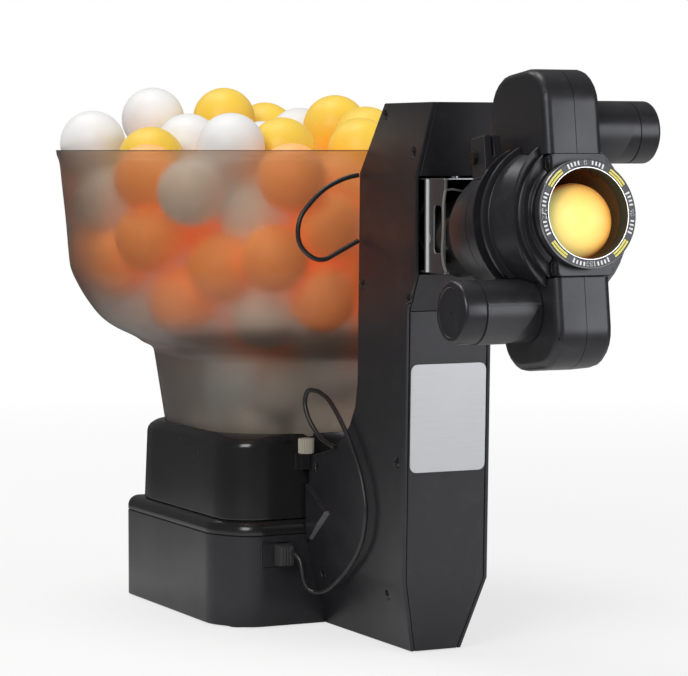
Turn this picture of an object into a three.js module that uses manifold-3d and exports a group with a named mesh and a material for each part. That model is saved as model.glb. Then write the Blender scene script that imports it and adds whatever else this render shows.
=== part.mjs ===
// Table tennis robot: a ball hopper on a feeder base, a tower that lifts the balls, and a swivelling,
// tilting, rolling throwing head with two wheels. Millimetres, +Z up, +X to the right seen from the
// front, and the ball leaves towards -Y. Side outlines are written as [forward, up], where forward
// counts from the hopper's axis towards the mouth, so y = -forward.

import * as THREE from 'three';
import { mergeVertices } from 'three/addons/utils/BufferGeometryUtils.js';
import Module from 'manifold-3d';

const wasm = await Module();
wasm.setup();

// Clearances and walls shared by the whole machine
const seamGap = 0.3;
const runningGap = 0.5;
const overrun = 3;
const skin = 2.2;
const reach = 400;

// How many straight pieces stand for an arc or a full turn
const facets = { edge: 2, soft: 3, corner: 4, bow: 5, cap: 6, bit: 10, stud: 12, small: 16, rod: 20, motor: 24 };
facets.disc = 28;
facets.journal = 32;
facets.barrel = 40;
facets.wheel = 48;

// The ball and the tube it runs in
const ball = { diameter: 40, playInPipe: 0.5 };
const pipe = { bore: ball.diameter / 2 + ball.playInPipe, wall: 1.2, bend: 26 };
pipe.outer = pipe.bore + pipe.wall;

// Base: a pan, a lid with a rounded edge, and four feet
const base = {
  halfWidth: 81, front: 77, rear: 84, cornerRound: 8, chamferAlong: 24, chamferAcross: 13.5,
  seamHeight: 55, height: 64, edgeRound: 6.5, floor: 3,
};
const foot = { radius: 7, height: 2.6, proud: 0.8, inset: 16 };

// Feeder: collar round the hopper's neck, floor plate, star wheel with ball pockets
const collar = {
  half: 76.5, backwards: 1.5, cornerRound: 21, height: 50.5, draft: 1.4, shoulder: 8, ledgeDepth: 15, ledge: 2.8,
  wall: 2.6,
};
const nut = {
  radius: 4.8, height: 9, across: 28.8, forward: 77.8, ledgeBelowTop: 11.9, studRadius: 1.8, studHeight: 7.2,
  boreDepth: 7.65, ribs: 20, ribDepth: 0.34, earDepth: 9, earBeyond: 3.6,
};
const feed = {
  pitchRadius: 44, pockets: 6, pocketPlay: 1, wheelRadius: 60, wheelHeight: 18, floor: 3, hubRadius: 9,
};
feed.pocket = ball.diameter / 2 + feed.pocketPlay;
const gearbox = { half: 19, height: 16, shaftRadius: 3 };
const motor = { radius: 12, length: 36 };
const board = {
  width: 44, length: 70, thick: 1.6, across: 50, back: 8, chipHeight: 9, standoff: 4, postInset: 4.4,
};

// Hopper: a round bowl that runs down into a neck with a rounded square section
const hopper = {
  rimRadius: 147, rimHeight: 283, lip: 6, lipOut: 1.8, wallTopRadius: 144.6, wallFootRadius: 138.5,
  wallFootHeight: 213, bendRadius: 135.8, bendHeight: 186.7, floorRadius: 97, floorHeight: 166,
  throatRadius: 91.5, throatHeight: 161.5, neckTopHeight: 156.5, neckTopHalf: 77.4, neckLowHalf: 72.4,
  neckRound: 45, wall: 2.4, sides: 56,
};

// Tower: side outline, half width, and the foot that narrows towards the floor
const tower = {
  halfWidth: 26.8, footHalfWidth: 15.6, taperHeight: 42, toe: 189, knee: 200, coverTop: 204, coverTopHeight: 194,
  window: 215, windowBottom: 214.7, windowTop: 268.7, hoodFront: 235, hoodRear: 177, top: 309,
  backTop: 145.5, backTopHeight: 270, backLow: 142.5, backLowHeight: 150, bootPull: 140, bootPullHeight: 112,
  bootEnd: 85,
};
const gusset = { proud: 2.5, top: 85, tip: 104, tipHeight: 71, bottom: 50 };
const screw = { headRadius: 2.6, headHeight: 1.2, shankRadius: 1.2, shankLength: 5, seat: 1.5 };
const screwAt = {
  topRear: 178.1, topRearHeight: 302.5, topFront: 212.8, topFrontHeight: 281.9, middle: 149.8, middleHeight: 206.9,
  sill: 206, sillHeight: 201, label: 192.8, labelHeight: 108.9, toe: 175.5, toeHeight: 31.9,
  bootTop: 88.5, bootTopHeight: 95.9, bootFoot: 91.1, bootFootHeight: 32.5,
};
const label = { width: 47.4, height: 60.6, bottom: 103.6, round: 4, thick: 0.7 };
const ductHeight = 38;
const riserForward = 171;
const outletHeight = 240;
const outletEnd = 207;

// Swivel: a sheet yoke on two pins at the window's plane, turned by a toothed sector
const yoke = {
  axis: 209.5, halfWidth: 22.7, backRadius: 15.5, sheet: 0.9, plateGap: 1.2, armBack: 217.2, armFront: 241,
  plateFront: 236, slotWidth: 34, slotBack: 215.4, pinRadius: 3, pinLength: 6.5,
  cutoutBack: 228.5, cutoutFront: 237.5, cutoutBottom: 227, cutoutTop: 253, cutoutRound: 2.5,
};
const bearing = { thick: 2.4, back: 45, backBelow: 15.5, frontInset: 3.52 };
const gear = {
  module: 1, sectorTeeth: 44, pinionTeeth: 12, thick: 4, lift: 1, hub: 4.2, backlash: 0.35, tip: 0.9, root: 1.15,
  tipShare: 0.14, rootShare: 0.36, shaftRadius: 2, fanReach: 100,
};
const sectorSpread = 78;
const swivelBox = { half: 11, height: 8, well: 3.3 };
const swivelMotor = { radius: 8, length: 12 };

// Head: distances along the barrel's axis are counted forward from a point just ahead of the tilt pins
const head = { forward: 227.9, height: 235.4, pitch: 7, mouth: 125, pinBack: 5.1 };
const sleeve = { rear: -10, wall: 1, step: 20, journal: 24, front: 67.5, pin: 2.4 };
const shroud = { rear: 29, rearRadius: 27, midForward: 42, front: 59.1, radius: 34.5, wall: 2.4, bossLength: 8 };
const lug = {
  left: 32, right: 22, back: 65.5, front: 80, low: 24, high: 46, screwBack: 69.5, screwHeight: 35, screwRadius: 2,
  screwHead: 3.6, slit: 1.2,
};
const barrel = {
  rear: 60.2, rearRadius: 35, collarRadius: 29.4, wall: 2.4, flange: 2.5, flangeRadius: 42, firstFlange: 79,
  grooveRadius: 37, secondFlange: 89.5, coneRadius: 38.5, waist: 108, waistWide: 33, waistTall: 37,
  thirdFlange: 108, thirdWide: 34, thirdTall: 42, fourthFlange: 112.6, fourthWide: 31, fourthTall: 38,
  noseRadius: 28, nose: 118,
};
const guide = { front: 120, wall: 1.4 };
const wheel = { radius: 27, width: 17, squash: 0.6, forward: 89, groove: 1.4, hubRadius: 17 };
wheel.height = ball.diameter / 2 - wheel.squash + wheel.radius;
const housing = {
  halfWidth: 16.8, halfDepth: 29.4, top: 77.8, bottom: 77.5, cornerRound: 20, edge: 4.5, wall: 1.7, foot: 31.8,
  splitAcross: 0.7,
};
const block = { halfWidth: 16, halfHeight: 31.5, rear: 112.4, front: 121.6, round: 2 };
const dial = {
  outer: 28, inner: 23.8, sleeveRear: 113.1, flangeRear: 121.9, sleeveOuter: 25.6, chamfer: 1.1, innerChamfer: 0.55,
};
const drive = {
  coverRadius: 16.5, upperReach: 60.8, lowerReach: 62, wall: 1.8, endRound: 5, motorRadius: 13.2, motorLength: 36,
  shaftRadius: 2,
};
const lead = { radius: 1.35, sides: 8, step: 6.75 };
const grommet = { radius: 4.2, tipRadius: 2.6, length: 11, across: 40.5, height: 42, flange: 1.5, bore: 1.8 };
const jack = { halfWidth: 6, height: 11, depth: 12, across: 48, up: 24, bore: 3.2, proud: 1.2 };

const colours = {
  black: 0x1d1c1e, smoke: 0x8a6f62, silver: 0xb9babd, steel: 0xa9abae, grey: 0x9a9c9e, beige: 0xb8b1a0,
  rubber: 0x141414, orange: 0xd96a24, green: 0x1d5a38, nylon: 0xd8d6cf, cord: 0x2a2a2c,
};

// Geometry helpers

function material(colour, roughness, metalness = 0) {
  return new THREE.MeshStandardMaterial({ color: colour, roughness, metalness });
}

// The signed volume tells whether the faces point out; they are turned over where they don't.
function facingOut(geometry) {
  const place = geometry.attributes.position;
  const index = geometry.index.array;
  const [a, b, c] = [new THREE.Vector3(), new THREE.Vector3(), new THREE.Vector3()];
  let volume = 0;
  for (let i = 0; i < index.length; i += 3) {
    a.fromBufferAttribute(place, index[i]);
    b.fromBufferAttribute(place, index[i + 1]);
    c.fromBufferAttribute(place, index[i + 2]);
    volume += a.dot(b.cross(c));
  }
  if (volume < 0) index.reverse();
  return geometry;
}

function solid(geometry) {
  const bare = geometry.index ? geometry.clone() : geometry;
  bare.deleteAttribute('normal');
  bare.deleteAttribute('uv');
  const merged = facingOut(mergeVertices(bare, 1e-4));
  const vertProperties = new Float32Array(merged.attributes.position.array);
  const triVerts = new Uint32Array(merged.index.array);
  return new wasm.Manifold(new wasm.Mesh({ numProp: 3, vertProperties, triVerts }));
}

function joined(first, ...others) {
  return others.reduce((sum, other) => sum.add(other), first);
}

function cut(first, ...others) {
  return others.reduce((rest, other) => rest.subtract(other), first);
}

function toGeometry(body) {
  const { vertProperties, triVerts, numProp } = body.getMesh();
  const geometry = new THREE.BufferGeometry();
  const places = new Float32Array((vertProperties.length / numProp) * 3);
  for (let i = 0; i < places.length / 3; i += 1) {
    for (let k = 0; k < 3; k += 1) places[3 * i + k] = vertProperties[numProp * i + k];
  }
  geometry.setAttribute('position', new THREE.BufferAttribute(places, 3));
  geometry.setIndex(new THREE.BufferAttribute(new Uint32Array(triVerts), 1));
  geometry.computeVertexNormals();
  return geometry;
}

function extruded(points, depth, basis, origin) {
  const shape = new THREE.Shape(points.map(([p, q]) => new THREE.Vector2(p, q)));
  const geometry = new THREE.ExtrudeGeometry(shape, { depth, bevelEnabled: false });
  geometry.applyMatrix4(basis.clone().setPosition(origin));
  return solid(geometry);
}

const axisX = new THREE.Vector3(1, 0, 0);
const axisY = new THREE.Vector3(0, 1, 0);
const axisZ = new THREE.Vector3(0, 0, 1);
const ahead = axisY.clone().negate();
const sideBasis = new THREE.Matrix4().makeBasis(ahead, axisZ, axisX.clone().negate());
const frontBasis = new THREE.Matrix4().makeBasis(axisX, axisZ, ahead);
const planBasis = new THREE.Matrix4().makeBasis(axisX, axisY, axisZ);

// A side outline [forward, up] carried from x = left to x = right
function acrossX(points, left, right) {
  return extruded(points, right - left, sideBasis, new THREE.Vector3(right, 0, 0));
}

// A front outline [x, up] carried from back to front, both counted forward
function alongForward(points, back, front) {
  return extruded(points, front - back, frontBasis, new THREE.Vector3(0, -back, 0));
}

// A plan outline [x, y] carried from low to high
function upright(points, low, high) {
  return extruded(points, high - low, planBasis, new THREE.Vector3(0, 0, low));
}

function block3(left, right, back, front, low, high) {
  return upright([[left, -front], [right, -front], [right, -back], [left, -back]], low, high);
}

// A profile [radius, distance] turned about an axis through the given point
function turned(profile, direction, centre, sides) {
  const points = profile.map(([radius, along]) => new THREE.Vector2(radius, along));
  const geometry = new THREE.LatheGeometry(points, sides);
  geometry.applyQuaternion(new THREE.Quaternion().setFromUnitVectors(axisY, direction));
  geometry.translate(...centre);
  return solid(geometry);
}

function rod(radius, start, end, direction, centre, sides) {
  return turned([[0, start], [radius, start], [radius, end], [0, end]], direction, centre, sides);
}

function ring(inner, outer, start, end, direction, centre, sides) {
  const profile = [[inner, start], [outer, start], [outer, end], [inner, end], [inner, start]];
  return turned(profile, direction, centre, sides);
}

// Corners of a polygon moved inwards by a distance; the corners run anticlockwise
function inset(corners, distance) {
  const count = corners.length;
  return corners.map((corner, i) => {
    const before = corners[(i + count - 1) % count];
    const after = corners[(i + 1) % count];
    const [ax, ay] = unit(before, corner);
    const [bx, by] = unit(corner, after);
    const scale = distance / (1 + ax * bx + ay * by);
    return [corner[0] - (ay + by) * scale, corner[1] + (ax + bx) * scale];
  });
}

function unit(from, to) {
  const length = Math.hypot(to[0] - from[0], to[1] - from[1]);
  return [(to[0] - from[0]) / length, (to[1] - from[1]) / length];
}

// Every corner rounded with the given radius, each as an arc of a few steps
function filleted(corners, radius, steps) {
  const count = corners.length;
  return corners.flatMap((corner, i) => {
    const [ax, ay] = unit(corners[(i + count - 1) % count], corner);
    const [bx, by] = unit(corner, corners[(i + 1) % count]);
    const turn = Math.atan2(ax * by - ay * bx, ax * bx + ay * by);
    const setback = radius * Math.tan(turn / 2);
    const centre = [corner[0] - ax * setback - ay * radius, corner[1] - ay * setback + ax * radius];
    const start = Math.atan2(-ax, ay);
    return Array.from({ length: steps + 1 }, (unused, k) => {
      const angle = start + (turn * k) / steps;
      return [centre[0] + radius * Math.cos(angle), centre[1] + radius * Math.sin(angle)];
    });
  });
}

function rectangle(halfWidth, low, high) {
  return [[-halfWidth, low], [halfWidth, low], [halfWidth, high], [-halfWidth, high]];
}

function curve(from, pull, to, steps) {
  const bent = new THREE.QuadraticBezierCurve(...[from, pull, to].map(([p, q]) => new THREE.Vector2(p, q)));
  return bent.getPoints(steps).map((point) => [point.x, point.y]);
}

// Rings of points joined into one closed surface: a loop of rings closes on itself, and otherwise the
// first and last rings are filled in from their middles.
function ringSurface(rings, loop) {
  const sides = rings[0].length;
  const places = rings.flat().flatMap((point) => [point.x, point.y, point.z]);
  const index = [];
  const last = loop ? rings.length : rings.length - 1;
  for (let i = 0; i < last; i += 1) {
    const next = (i + 1) % rings.length;
    for (let k = 0; k < sides; k += 1) {
      const along = (k + 1) % sides;
      index.push(i * sides + k, i * sides + along, next * sides + along);
      index.push(i * sides + k, next * sides + along, next * sides + k);
    }
  }
  if (!loop) {
    for (const end of [0, rings.length - 1]) {
      const middle = rings[end].reduce((sum, point) => sum.add(point), new THREE.Vector3()).divideScalar(sides);
      places.push(middle.x, middle.y, middle.z);
      const centre = places.length / 3 - 1;
      for (let k = 0; k < sides; k += 1) {
        const pair = [end * sides + k, end * sides + ((k + 1) % sides)];
        if (end > 0) pair.reverse();
        index.push(centre, pair[1], pair[0]);
      }
    }
  }
  const geometry = new THREE.BufferGeometry();
  geometry.setAttribute('position', new THREE.BufferAttribute(new Float32Array(places), 3));
  geometry.setIndex(index);
  return solid(geometry);
}

// A ring of a rounded square at a height: the distance to its edge in each direction
function roundedSquareRadius(angle, half, round) {
  const [c, s] = [Math.abs(Math.cos(angle)), Math.abs(Math.sin(angle))];
  const flat = half / Math.max(c, s);
  const core = half - round;
  if (flat * Math.min(c, s) <= core) return flat;
  const middle = core * (c + s);
  return middle + Math.sqrt(Math.max(0, middle * middle - 2 * core * core + round * round));
}

function polarRing(radiusAt, height, sides) {
  return Array.from({ length: sides }, (unused, k) => {
    const angle = (2 * Math.PI * k) / sides;
    const radius = radiusAt(angle);
    return new THREE.Vector3(radius * Math.cos(angle), radius * Math.sin(angle), height);
  });
}

function ellipseRing(wide, tall, forward) {
  return Array.from({ length: facets.barrel }, (unused, k) => {
    const angle = (2 * Math.PI * k) / facets.barrel;
    return new THREE.Vector3(wide * Math.cos(angle), -forward, tall * Math.sin(angle));
  });
}

const machine = new THREE.Group();
const headGroup = new THREE.Group();
headGroup.position.set(0, -head.forward, head.height);
headGroup.rotation.x = -THREE.MathUtils.degToRad(head.pitch);

function add(group, name, body, finish) {
  const mesh = new THREE.Mesh(toGeometry(body), finish);
  mesh.name = name;
  group.add(mesh);
  return mesh;
}

const finishes = {
  black: material(colours.black, 0.42),
  smoke: material(colours.smoke, 0.35),
  silver: material(colours.silver, 0.35, 0.9),
  steel: material(colours.steel, 0.3, 1),
  grey: material(colours.grey, 0.45, 0.7),
  beige: material(colours.beige, 0.6),
  rubber: material(colours.rubber, 0.85),
  orange: material(colours.orange, 0.5),
  green: material(colours.green, 0.5),
  nylon: material(colours.nylon, 0.55),
  cord: material(colours.cord, 0.5),
};

// Base

function basePlan(distance) {
  const { halfWidth: w, front: f, rear, chamferAlong, chamferAcross } = base;
  const corners = [
    [-w + chamferAcross, -f], [w - chamferAcross, -f], [w, -f + chamferAlong], [w, rear], [-w, rear],
    [-w, -f + chamferAlong],
  ];
  return filleted(inset(corners, distance), base.cornerRound - distance, facets.corner);
}

function planRing(points, height) {
  return points.map(([x, y]) => new THREE.Vector3(x, y, height));
}

// The hole that the ball tube takes through the base's front wall and the tower's back
function ductHole(back, front) {
  return rod(pipe.outer + runningGap, back, front, ahead, [0, 0, ductHeight], facets.motor);
}

const leadHole = rod(
  grommet.bore + runningGap, base.front - overrun - skin, base.front + overrun,
  ahead, [-grommet.across, 0, grommet.height], facets.stud,
);

function makeBase() {
  const pan = cut(
    upright(basePlan(0), foot.proud, base.seamHeight),
    upright(basePlan(skin), foot.proud + base.floor, base.seamHeight + overrun),
    ductHole(base.front - skin - overrun, base.front + overrun),
    leadHole,
    jackHole(),
    ...footPlaces().map(([x, y]) => footSolid(x, y, runningGap)),
  );
  add(machine, 'base_pan', pan, finishes.black);

  const arcSteps = facets.corner;
  const rings = [planRing(basePlan(0), base.seamHeight + seamGap)];
  for (let k = 0; k <= arcSteps; k += 1) {
    const angle = (Math.PI / 2) * (k / arcSteps);
    const inwards = base.edgeRound * (1 - Math.cos(angle));
    rings.push(planRing(basePlan(inwards), base.height - base.edgeRound * (1 - Math.sin(angle))));
  }
  const lid = cut(
    ringSurface(rings, false),
    upright(basePlan(base.edgeRound), base.seamHeight - overrun, base.height - skin),
    rod(feed.pitchRadius + pipe.outer + runningGap * 2, 0, base.height + overrun, axisZ,
      [0, 0, 0], facets.barrel),
    ductHole(base.front - base.edgeRound - overrun, base.front + overrun),
  );
  add(machine, 'base_lid', lid, finishes.black);
}

function footPlaces() {
  const across = base.halfWidth - foot.inset;
  const [front, rear] = [-base.front + foot.inset, base.rear - foot.inset];
  return [[-across, front], [across, front], [-across, rear], [across, rear]];
}

function footSolid(x, y, grow) {
  return rod(foot.radius + grow, 0, foot.height + grow, axisZ, [x, y, 0], facets.rod);
}

function makeFeet() {
  const names = ['front_left', 'front_right', 'rear_left', 'rear_right'];
  footPlaces().forEach(([x, y], i) => add(machine, `foot_${names[i]}`, footSolid(x, y, 0), finishes.rubber));
}

function jackHole() {
  const grow = seamGap;
  return block3(
    jack.across - jack.halfWidth - grow, jack.across + jack.halfWidth + grow,
    -base.rear - overrun, -base.rear + jack.depth, jack.up - grow, jack.up + jack.height + grow,
  );
}

function makeJack() {
  const back = -base.rear - jack.proud;
  const body = cut(
    block3(jack.across - jack.halfWidth, jack.across + jack.halfWidth, back, back + jack.depth,
      jack.up, jack.up + jack.height),
    rod(jack.bore, back - overrun, back + jack.depth - skin, ahead,
      [jack.across, 0, jack.up + jack.height / 2], facets.small),
  );
  add(machine, 'power_jack', body, finishes.rubber);
}

function makeGrommet() {
  const seat = base.front + seamGap;
  const profile = [
    [grommet.bore, seat], [grommet.radius, seat], [grommet.radius, seat + grommet.flange],
    [grommet.tipRadius + lead.radius / 2, seat + grommet.flange], [grommet.tipRadius, seat + grommet.length],
    [grommet.bore, seat + grommet.length], [grommet.bore, seat],
  ];
  const centre = [-grommet.across, 0, grommet.height];
  add(machine, 'cable_grommet', turned(profile, ahead, centre, facets.small),
    finishes.rubber);
}

// Feeder

const collarFoot = base.height + seamGap;
const collarTop = collarFoot + collar.height;
const ledgeHeight = collarTop - nut.ledgeBelowTop;
const hopperFoot = collarTop - collar.ledgeDepth;

function neckHalf(height) {
  const slope = (hopper.neckTopHalf - hopper.neckLowHalf) / (hopper.neckTopHeight - collarTop);
  return hopper.neckLowHalf + (height - collarTop) * slope;
}

function neckRing(grow, height) {
  return polarRing((angle) => roundedSquareRadius(angle, neckHalf(height) + grow, hopper.neckRound + grow),
    height, hopper.sides);
}

function collarRing(half, height) {
  const points = polarRing((angle) => roundedSquareRadius(angle, half, collar.cornerRound), height, hopper.sides);
  return points.map((point) => point.setY(point.y + collar.backwards));
}

// The shoulder runs in a quarter round from the collar's own outline to the opening round the neck.
function makeCollar() {
  const shoulderFoot = collarRing(collar.half - collar.draft, collarTop - collar.shoulder);
  const opening = neckRing(runningGap, collarTop);
  const rings = [collarRing(collar.half, collarFoot)];
  const arcSteps = facets.bow;
  for (let k = 0; k <= arcSteps; k += 1) {
    const angle = (Math.PI / 2) * (k / arcSteps);
    rings.push(shoulderFoot.map((point, i) => new THREE.Vector3(
      point.x + (opening[i].x - point.x) * (1 - Math.cos(angle)),
      point.y + (opening[i].y - point.y) * (1 - Math.cos(angle)),
      point.z + (opening[i].z - point.z) * Math.sin(angle),
    )));
  }
  const under = hopperFoot - collar.wall;
  rings.push(neckRing(runningGap, hopperFoot - seamGap), neckRing(-collar.ledge, hopperFoot - seamGap));
  rings.push(neckRing(-collar.ledge, under), collarRing(collar.half - collar.wall, under - collar.ledge));
  rings.push(collarRing(collar.half - collar.wall, collarFoot));
  const notchHalf = nut.radius + skin;
  const notch = block3(
    -nut.across - notchHalf, -nut.across + notchHalf, nut.forward - nut.radius - seamGap, reach,
    ledgeHeight, collarTop + overrun,
  );
  const stud = rod(nut.studRadius, ledgeHeight - skin, ledgeHeight + nut.studHeight, axisZ,
    [-nut.across, -nut.forward, 0], facets.stud);
  const ear = block3(
    -nut.across - nut.radius, -tower.halfWidth - runningGap, collar.half - collar.backwards - collar.wall,
    nut.forward + nut.earBeyond, ledgeHeight - nut.earDepth, ledgeHeight,
  );
  add(machine, 'feeder_collar', joined(cut(ringSurface(rings, true), notch), ear, stud), finishes.black);
}

function makeThumbNut() {
  const outline = Array.from({ length: nut.ribs * 4 }, (unused, k) => {
    const angle = (2 * Math.PI * k) / (nut.ribs * 4);
    const radius = nut.radius - (k % 4 < 2 ? 0 : nut.ribDepth);
    return [-nut.across + radius * Math.cos(angle), -nut.forward + radius * Math.sin(angle)];
  });
  const low = ledgeHeight + seamGap;
  const bore = rod(nut.studRadius + seamGap, low - overrun, low + nut.boreDepth, axisZ,
    [-nut.across, -nut.forward, 0], facets.stud);
  add(machine, 'thumb_nut', cut(upright(outline, low, low + nut.height), bore), finishes.beige);
}

const floorTop = collarFoot + feed.floor;

function makeFeeder() {
  const plateHalf = collar.half - collar.wall - seamGap - collar.draft;
  const plate = cut(
    ringSurface([collarRing(plateHalf, collarFoot), collarRing(plateHalf, floorTop)], false),
    rod(pipe.bore, 0, reach, axisZ, [0, -feed.pitchRadius, 0], facets.disc),
    rod(gearbox.shaftRadius + runningGap, 0, reach, axisZ, [0, 0, 0], facets.small),
  );
  add(machine, 'feed_floor', plate, finishes.black);

  const low = floorTop + runningGap;
  const high = low + feed.wheelHeight;
  const pockets = Array.from({ length: feed.pockets }, (unused, k) => {
    const angle = (2 * Math.PI * k) / feed.pockets - Math.PI / 2;
    const centre = [feed.pitchRadius * Math.cos(angle), feed.pitchRadius * Math.sin(angle), 0];
    return rod(feed.pocket, low - overrun, high + overrun, axisZ, centre, facets.motor);
  });
  const profile = [
    [0, low], [feed.wheelRadius, low], [feed.wheelRadius, high - skin], [feed.hubRadius * 2, high],
    [feed.hubRadius, high + skin], [0, high + skin * 2],
  ];
  const shaft = rod(gearbox.shaftRadius, base.height - skin * 2, low + skin, axisZ, [0, 0, 0], facets.small);
  const star = cut(turned(profile, axisZ, [0, 0, 0], facets.wheel), ...pockets);
  add(machine, 'feed_wheel', joined(star, shaft), finishes.orange);

  const boxTop = collarFoot - seamGap;
  const box = cut(
    block3(-gearbox.half, gearbox.half, -gearbox.half, gearbox.half, boxTop - gearbox.height, boxTop),
    rod(gearbox.shaftRadius + runningGap, boxTop - skin * 3, boxTop + overrun, axisZ,
      [0, 0, 0], facets.small),
  );
  add(machine, 'feed_gearbox', box, finishes.nylon);
  const motorTop = boxTop - gearbox.height - seamGap;
  const can = rod(motor.radius, motorTop - motor.length, motorTop, axisZ, [0, 0, 0], facets.motor);
  add(machine, 'feed_motor', can, finishes.grey);

  const low0 = foot.proud + base.floor + board.standoff;
  const left = -board.across - board.width / 2;
  const back = -board.back - board.length / 2;
  const sheet = block3(left, left + board.width, back, back + board.length, low0, low0 + board.thick);
  const posts = [[0, 0], [1, 0], [0, 1], [1, 1]].map(([i, j]) => rod(
    skin, low0 - board.standoff + seamGap, low0 + board.thick, axisZ, [
      left + board.postInset + i * (board.width - board.postInset * 2),
      -(back + board.postInset + j * (board.length - board.postInset * 2)), 0,
    ], facets.stud,
  ));
  const chip = block3(
    left + board.width / 4, left + board.width / 2, back + board.length / 4, back + board.length / 2,
    low0, low0 + board.chipHeight,
  );
  add(machine, 'control_board', joined(sheet, chip, ...posts), finishes.green);
}

// Hopper

function hopperProfile() {
  const h = hopper;
  const lipFoot = h.rimHeight - h.lip;
  return [
    [h.rimRadius, h.rimHeight], [h.rimRadius, lipFoot], [h.wallTopRadius, lipFoot - h.lipOut],
    ...curve([h.wallFootRadius, h.wallFootHeight], [h.bendRadius, h.bendHeight],
      [h.floorRadius, h.floorHeight], facets.cap),
    [h.throatRadius, h.throatHeight],
  ];
}

function hopperRing(radius, height, inwards) {
  const h = hopper;
  const share = THREE.MathUtils.smoothstep(height, h.neckTopHeight, h.floorHeight);
  const half = neckHalf(height) - inwards;
  return polarRing((angle) => {
    const square = roundedSquareRadius(angle, half, h.neckRound - inwards);
    return square + (radius - square) * share;
  }, height, h.sides);
}

function makeHopper() {
  const outer = hopperProfile();
  const rings = outer.map(([radius, height]) => hopperRing(radius, height, 0));
  rings.push(hopperRing(0, hopper.neckTopHeight, 0));
  rings.push(hopperRing(0, hopperFoot, 0));
  rings.push(hopperRing(0, hopperFoot, hopper.wall));
  rings.push(hopperRing(0, hopper.neckTopHeight, hopper.wall));
  const inner = outer.map((point, i) => insidePoint(outer, i)).reverse();
  inner.forEach(([radius, height]) => rings.push(hopperRing(radius, height, hopper.wall)));
  add(machine, 'hopper', ringSurface(rings, true), finishes.smoke);
}

// The point of the inner face that lies square to the outer profile, the wall's thickness away
function insidePoint(profile, i) {
  const before = profile[Math.max(i - 1, 0)];
  const after = profile[Math.min(i + 1, profile.length - 1)];
  const [along, up] = unit(before, after);
  if (i < 2) return [hopper.wallTopRadius - hopper.wall, i === 0 ? hopper.rimHeight : profile[i][1]];
  return [profile[i][0] + up * hopper.wall, profile[i][1] - along * hopper.wall];
}

// Tower

const bootBack = base.front + seamGap;

function towerOutline() {
  const t = tower;
  return [
    [bootBack, foot.proud], [t.toe, foot.proud], [t.knee, t.taperHeight], [t.coverTop, t.coverTopHeight],
    [t.window, t.windowBottom], [t.window, t.windowTop], [t.hoodFront, t.top], [t.hoodRear, t.top],
    [t.backTop, t.backTopHeight],
    ...curve([t.backLow, t.backLowHeight], [t.bootPull, t.bootPullHeight], [t.bootEnd, ledgeHeight], facets.bow),
    [bootBack, ledgeHeight],
  ];
}

// The front outline of the tower's width: straight above, narrowing towards the floor
function widthOutline(distance) {
  const wide = tower.halfWidth - distance;
  const narrow = tower.footHalfWidth - distance;
  const below = (wide - narrow) * (overrun / tower.taperHeight);
  return [
    [-narrow + below, -overrun], [narrow - below, -overrun], [wide, tower.taperHeight], [wide, reach],
    [-wide, reach], [-wide, tower.taperHeight],
  ];
}

const towerSolid = acrossX(towerOutline(), -tower.halfWidth, tower.halfWidth)
  .intersect(alongForward(widthOutline(0), 0, reach));
const towerRoom = acrossX(inset(towerOutline(), skin), -tower.halfWidth, tower.halfWidth)
  .intersect(alongForward(widthOutline(skin - overrun), 0, reach));
const windowCut = block3(
  -tower.halfWidth, tower.halfWidth, tower.coverTop, reach, tower.windowBottom, tower.windowTop,
);

const coverScrews = [
  { name: 'top_rear', forward: screwAt.topRear, height: screwAt.topRearHeight },
  { name: 'top_front', forward: screwAt.topFront, height: screwAt.topFrontHeight },
  { name: 'middle', forward: screwAt.middle, height: screwAt.middleHeight },
  { name: 'sill', forward: screwAt.sill, height: screwAt.sillHeight },
  { name: 'label', forward: screwAt.label, height: screwAt.labelHeight },
  { name: 'toe', forward: screwAt.toe, height: screwAt.toeHeight },
  { name: 'boot_top', forward: screwAt.bootTop, height: screwAt.bootTopHeight },
  { name: 'boot_foot', forward: screwAt.bootFoot, height: screwAt.bootFootHeight },
];
const coverScrewsMade = ['top_rear', 'top_front', 'sill', 'toe'];

function halfWidthAt(height) {
  const share = Math.min(1, height / tower.taperHeight);
  return tower.footHalfWidth + (tower.halfWidth - tower.footHalfWidth) * share;
}

function screwSeats(side) {
  return coverScrews.flatMap(({ forward, height }) => {
    const face = halfWidthAt(height);
    const centre = [0, -forward, height];
    const direction = axisX.clone().multiplyScalar(side);
    return [
      rod(screw.headRadius + seamGap, face - screw.seat, face + overrun, direction, centre, facets.stud),
      rod(screw.shankRadius + seamGap, face - skin - overrun, face + overrun, direction, centre, facets.bit),
    ];
  });
}

function makeCovers() {
  const plates = towerSolid.subtract(alongForward(widthOutline(skin), 0, reach));
  for (const [side, name] of [[-1, 'left'], [1, 'right']]) {
    const half = side < 0 ? [-reach, 0] : [0, reach];
    const outerFace = [side * (tower.halfWidth - skin / 2), side * (tower.halfWidth + gusset.proud)];
    const wedge = acrossX(
      [[bootBack + seamGap, gusset.bottom], [gusset.tip, gusset.tipHeight], [bootBack + seamGap, gusset.top]],
      Math.min(...outerFace), Math.max(...outerFace),
    );
    const plate = plates.intersect(block3(half[0], half[1], 0, reach, -overrun, reach));
    add(machine, `side_cover_${name}`, cut(joined(plate, wedge), ...screwSeats(side)), finishes.black);
  }
  coverScrews.filter(({ name }) => coverScrewsMade.includes(name)).forEach(({ name, forward, height }) => {
    const seat = halfWidthAt(height) - screw.seat + seamGap;
    const profile = [
      [0, seat - screw.shankLength], [screw.shankRadius, seat - screw.shankLength], [screw.shankRadius, seat],
      [screw.headRadius, seat], [screw.headRadius, seat + screw.headHeight], [0, seat + screw.headHeight],
    ];
    const body = turned(profile, axisX.clone().negate(), [0, -forward, height], facets.stud);
    add(machine, `cover_screw_${name}`, body, finishes.steel);
  });
}

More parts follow.
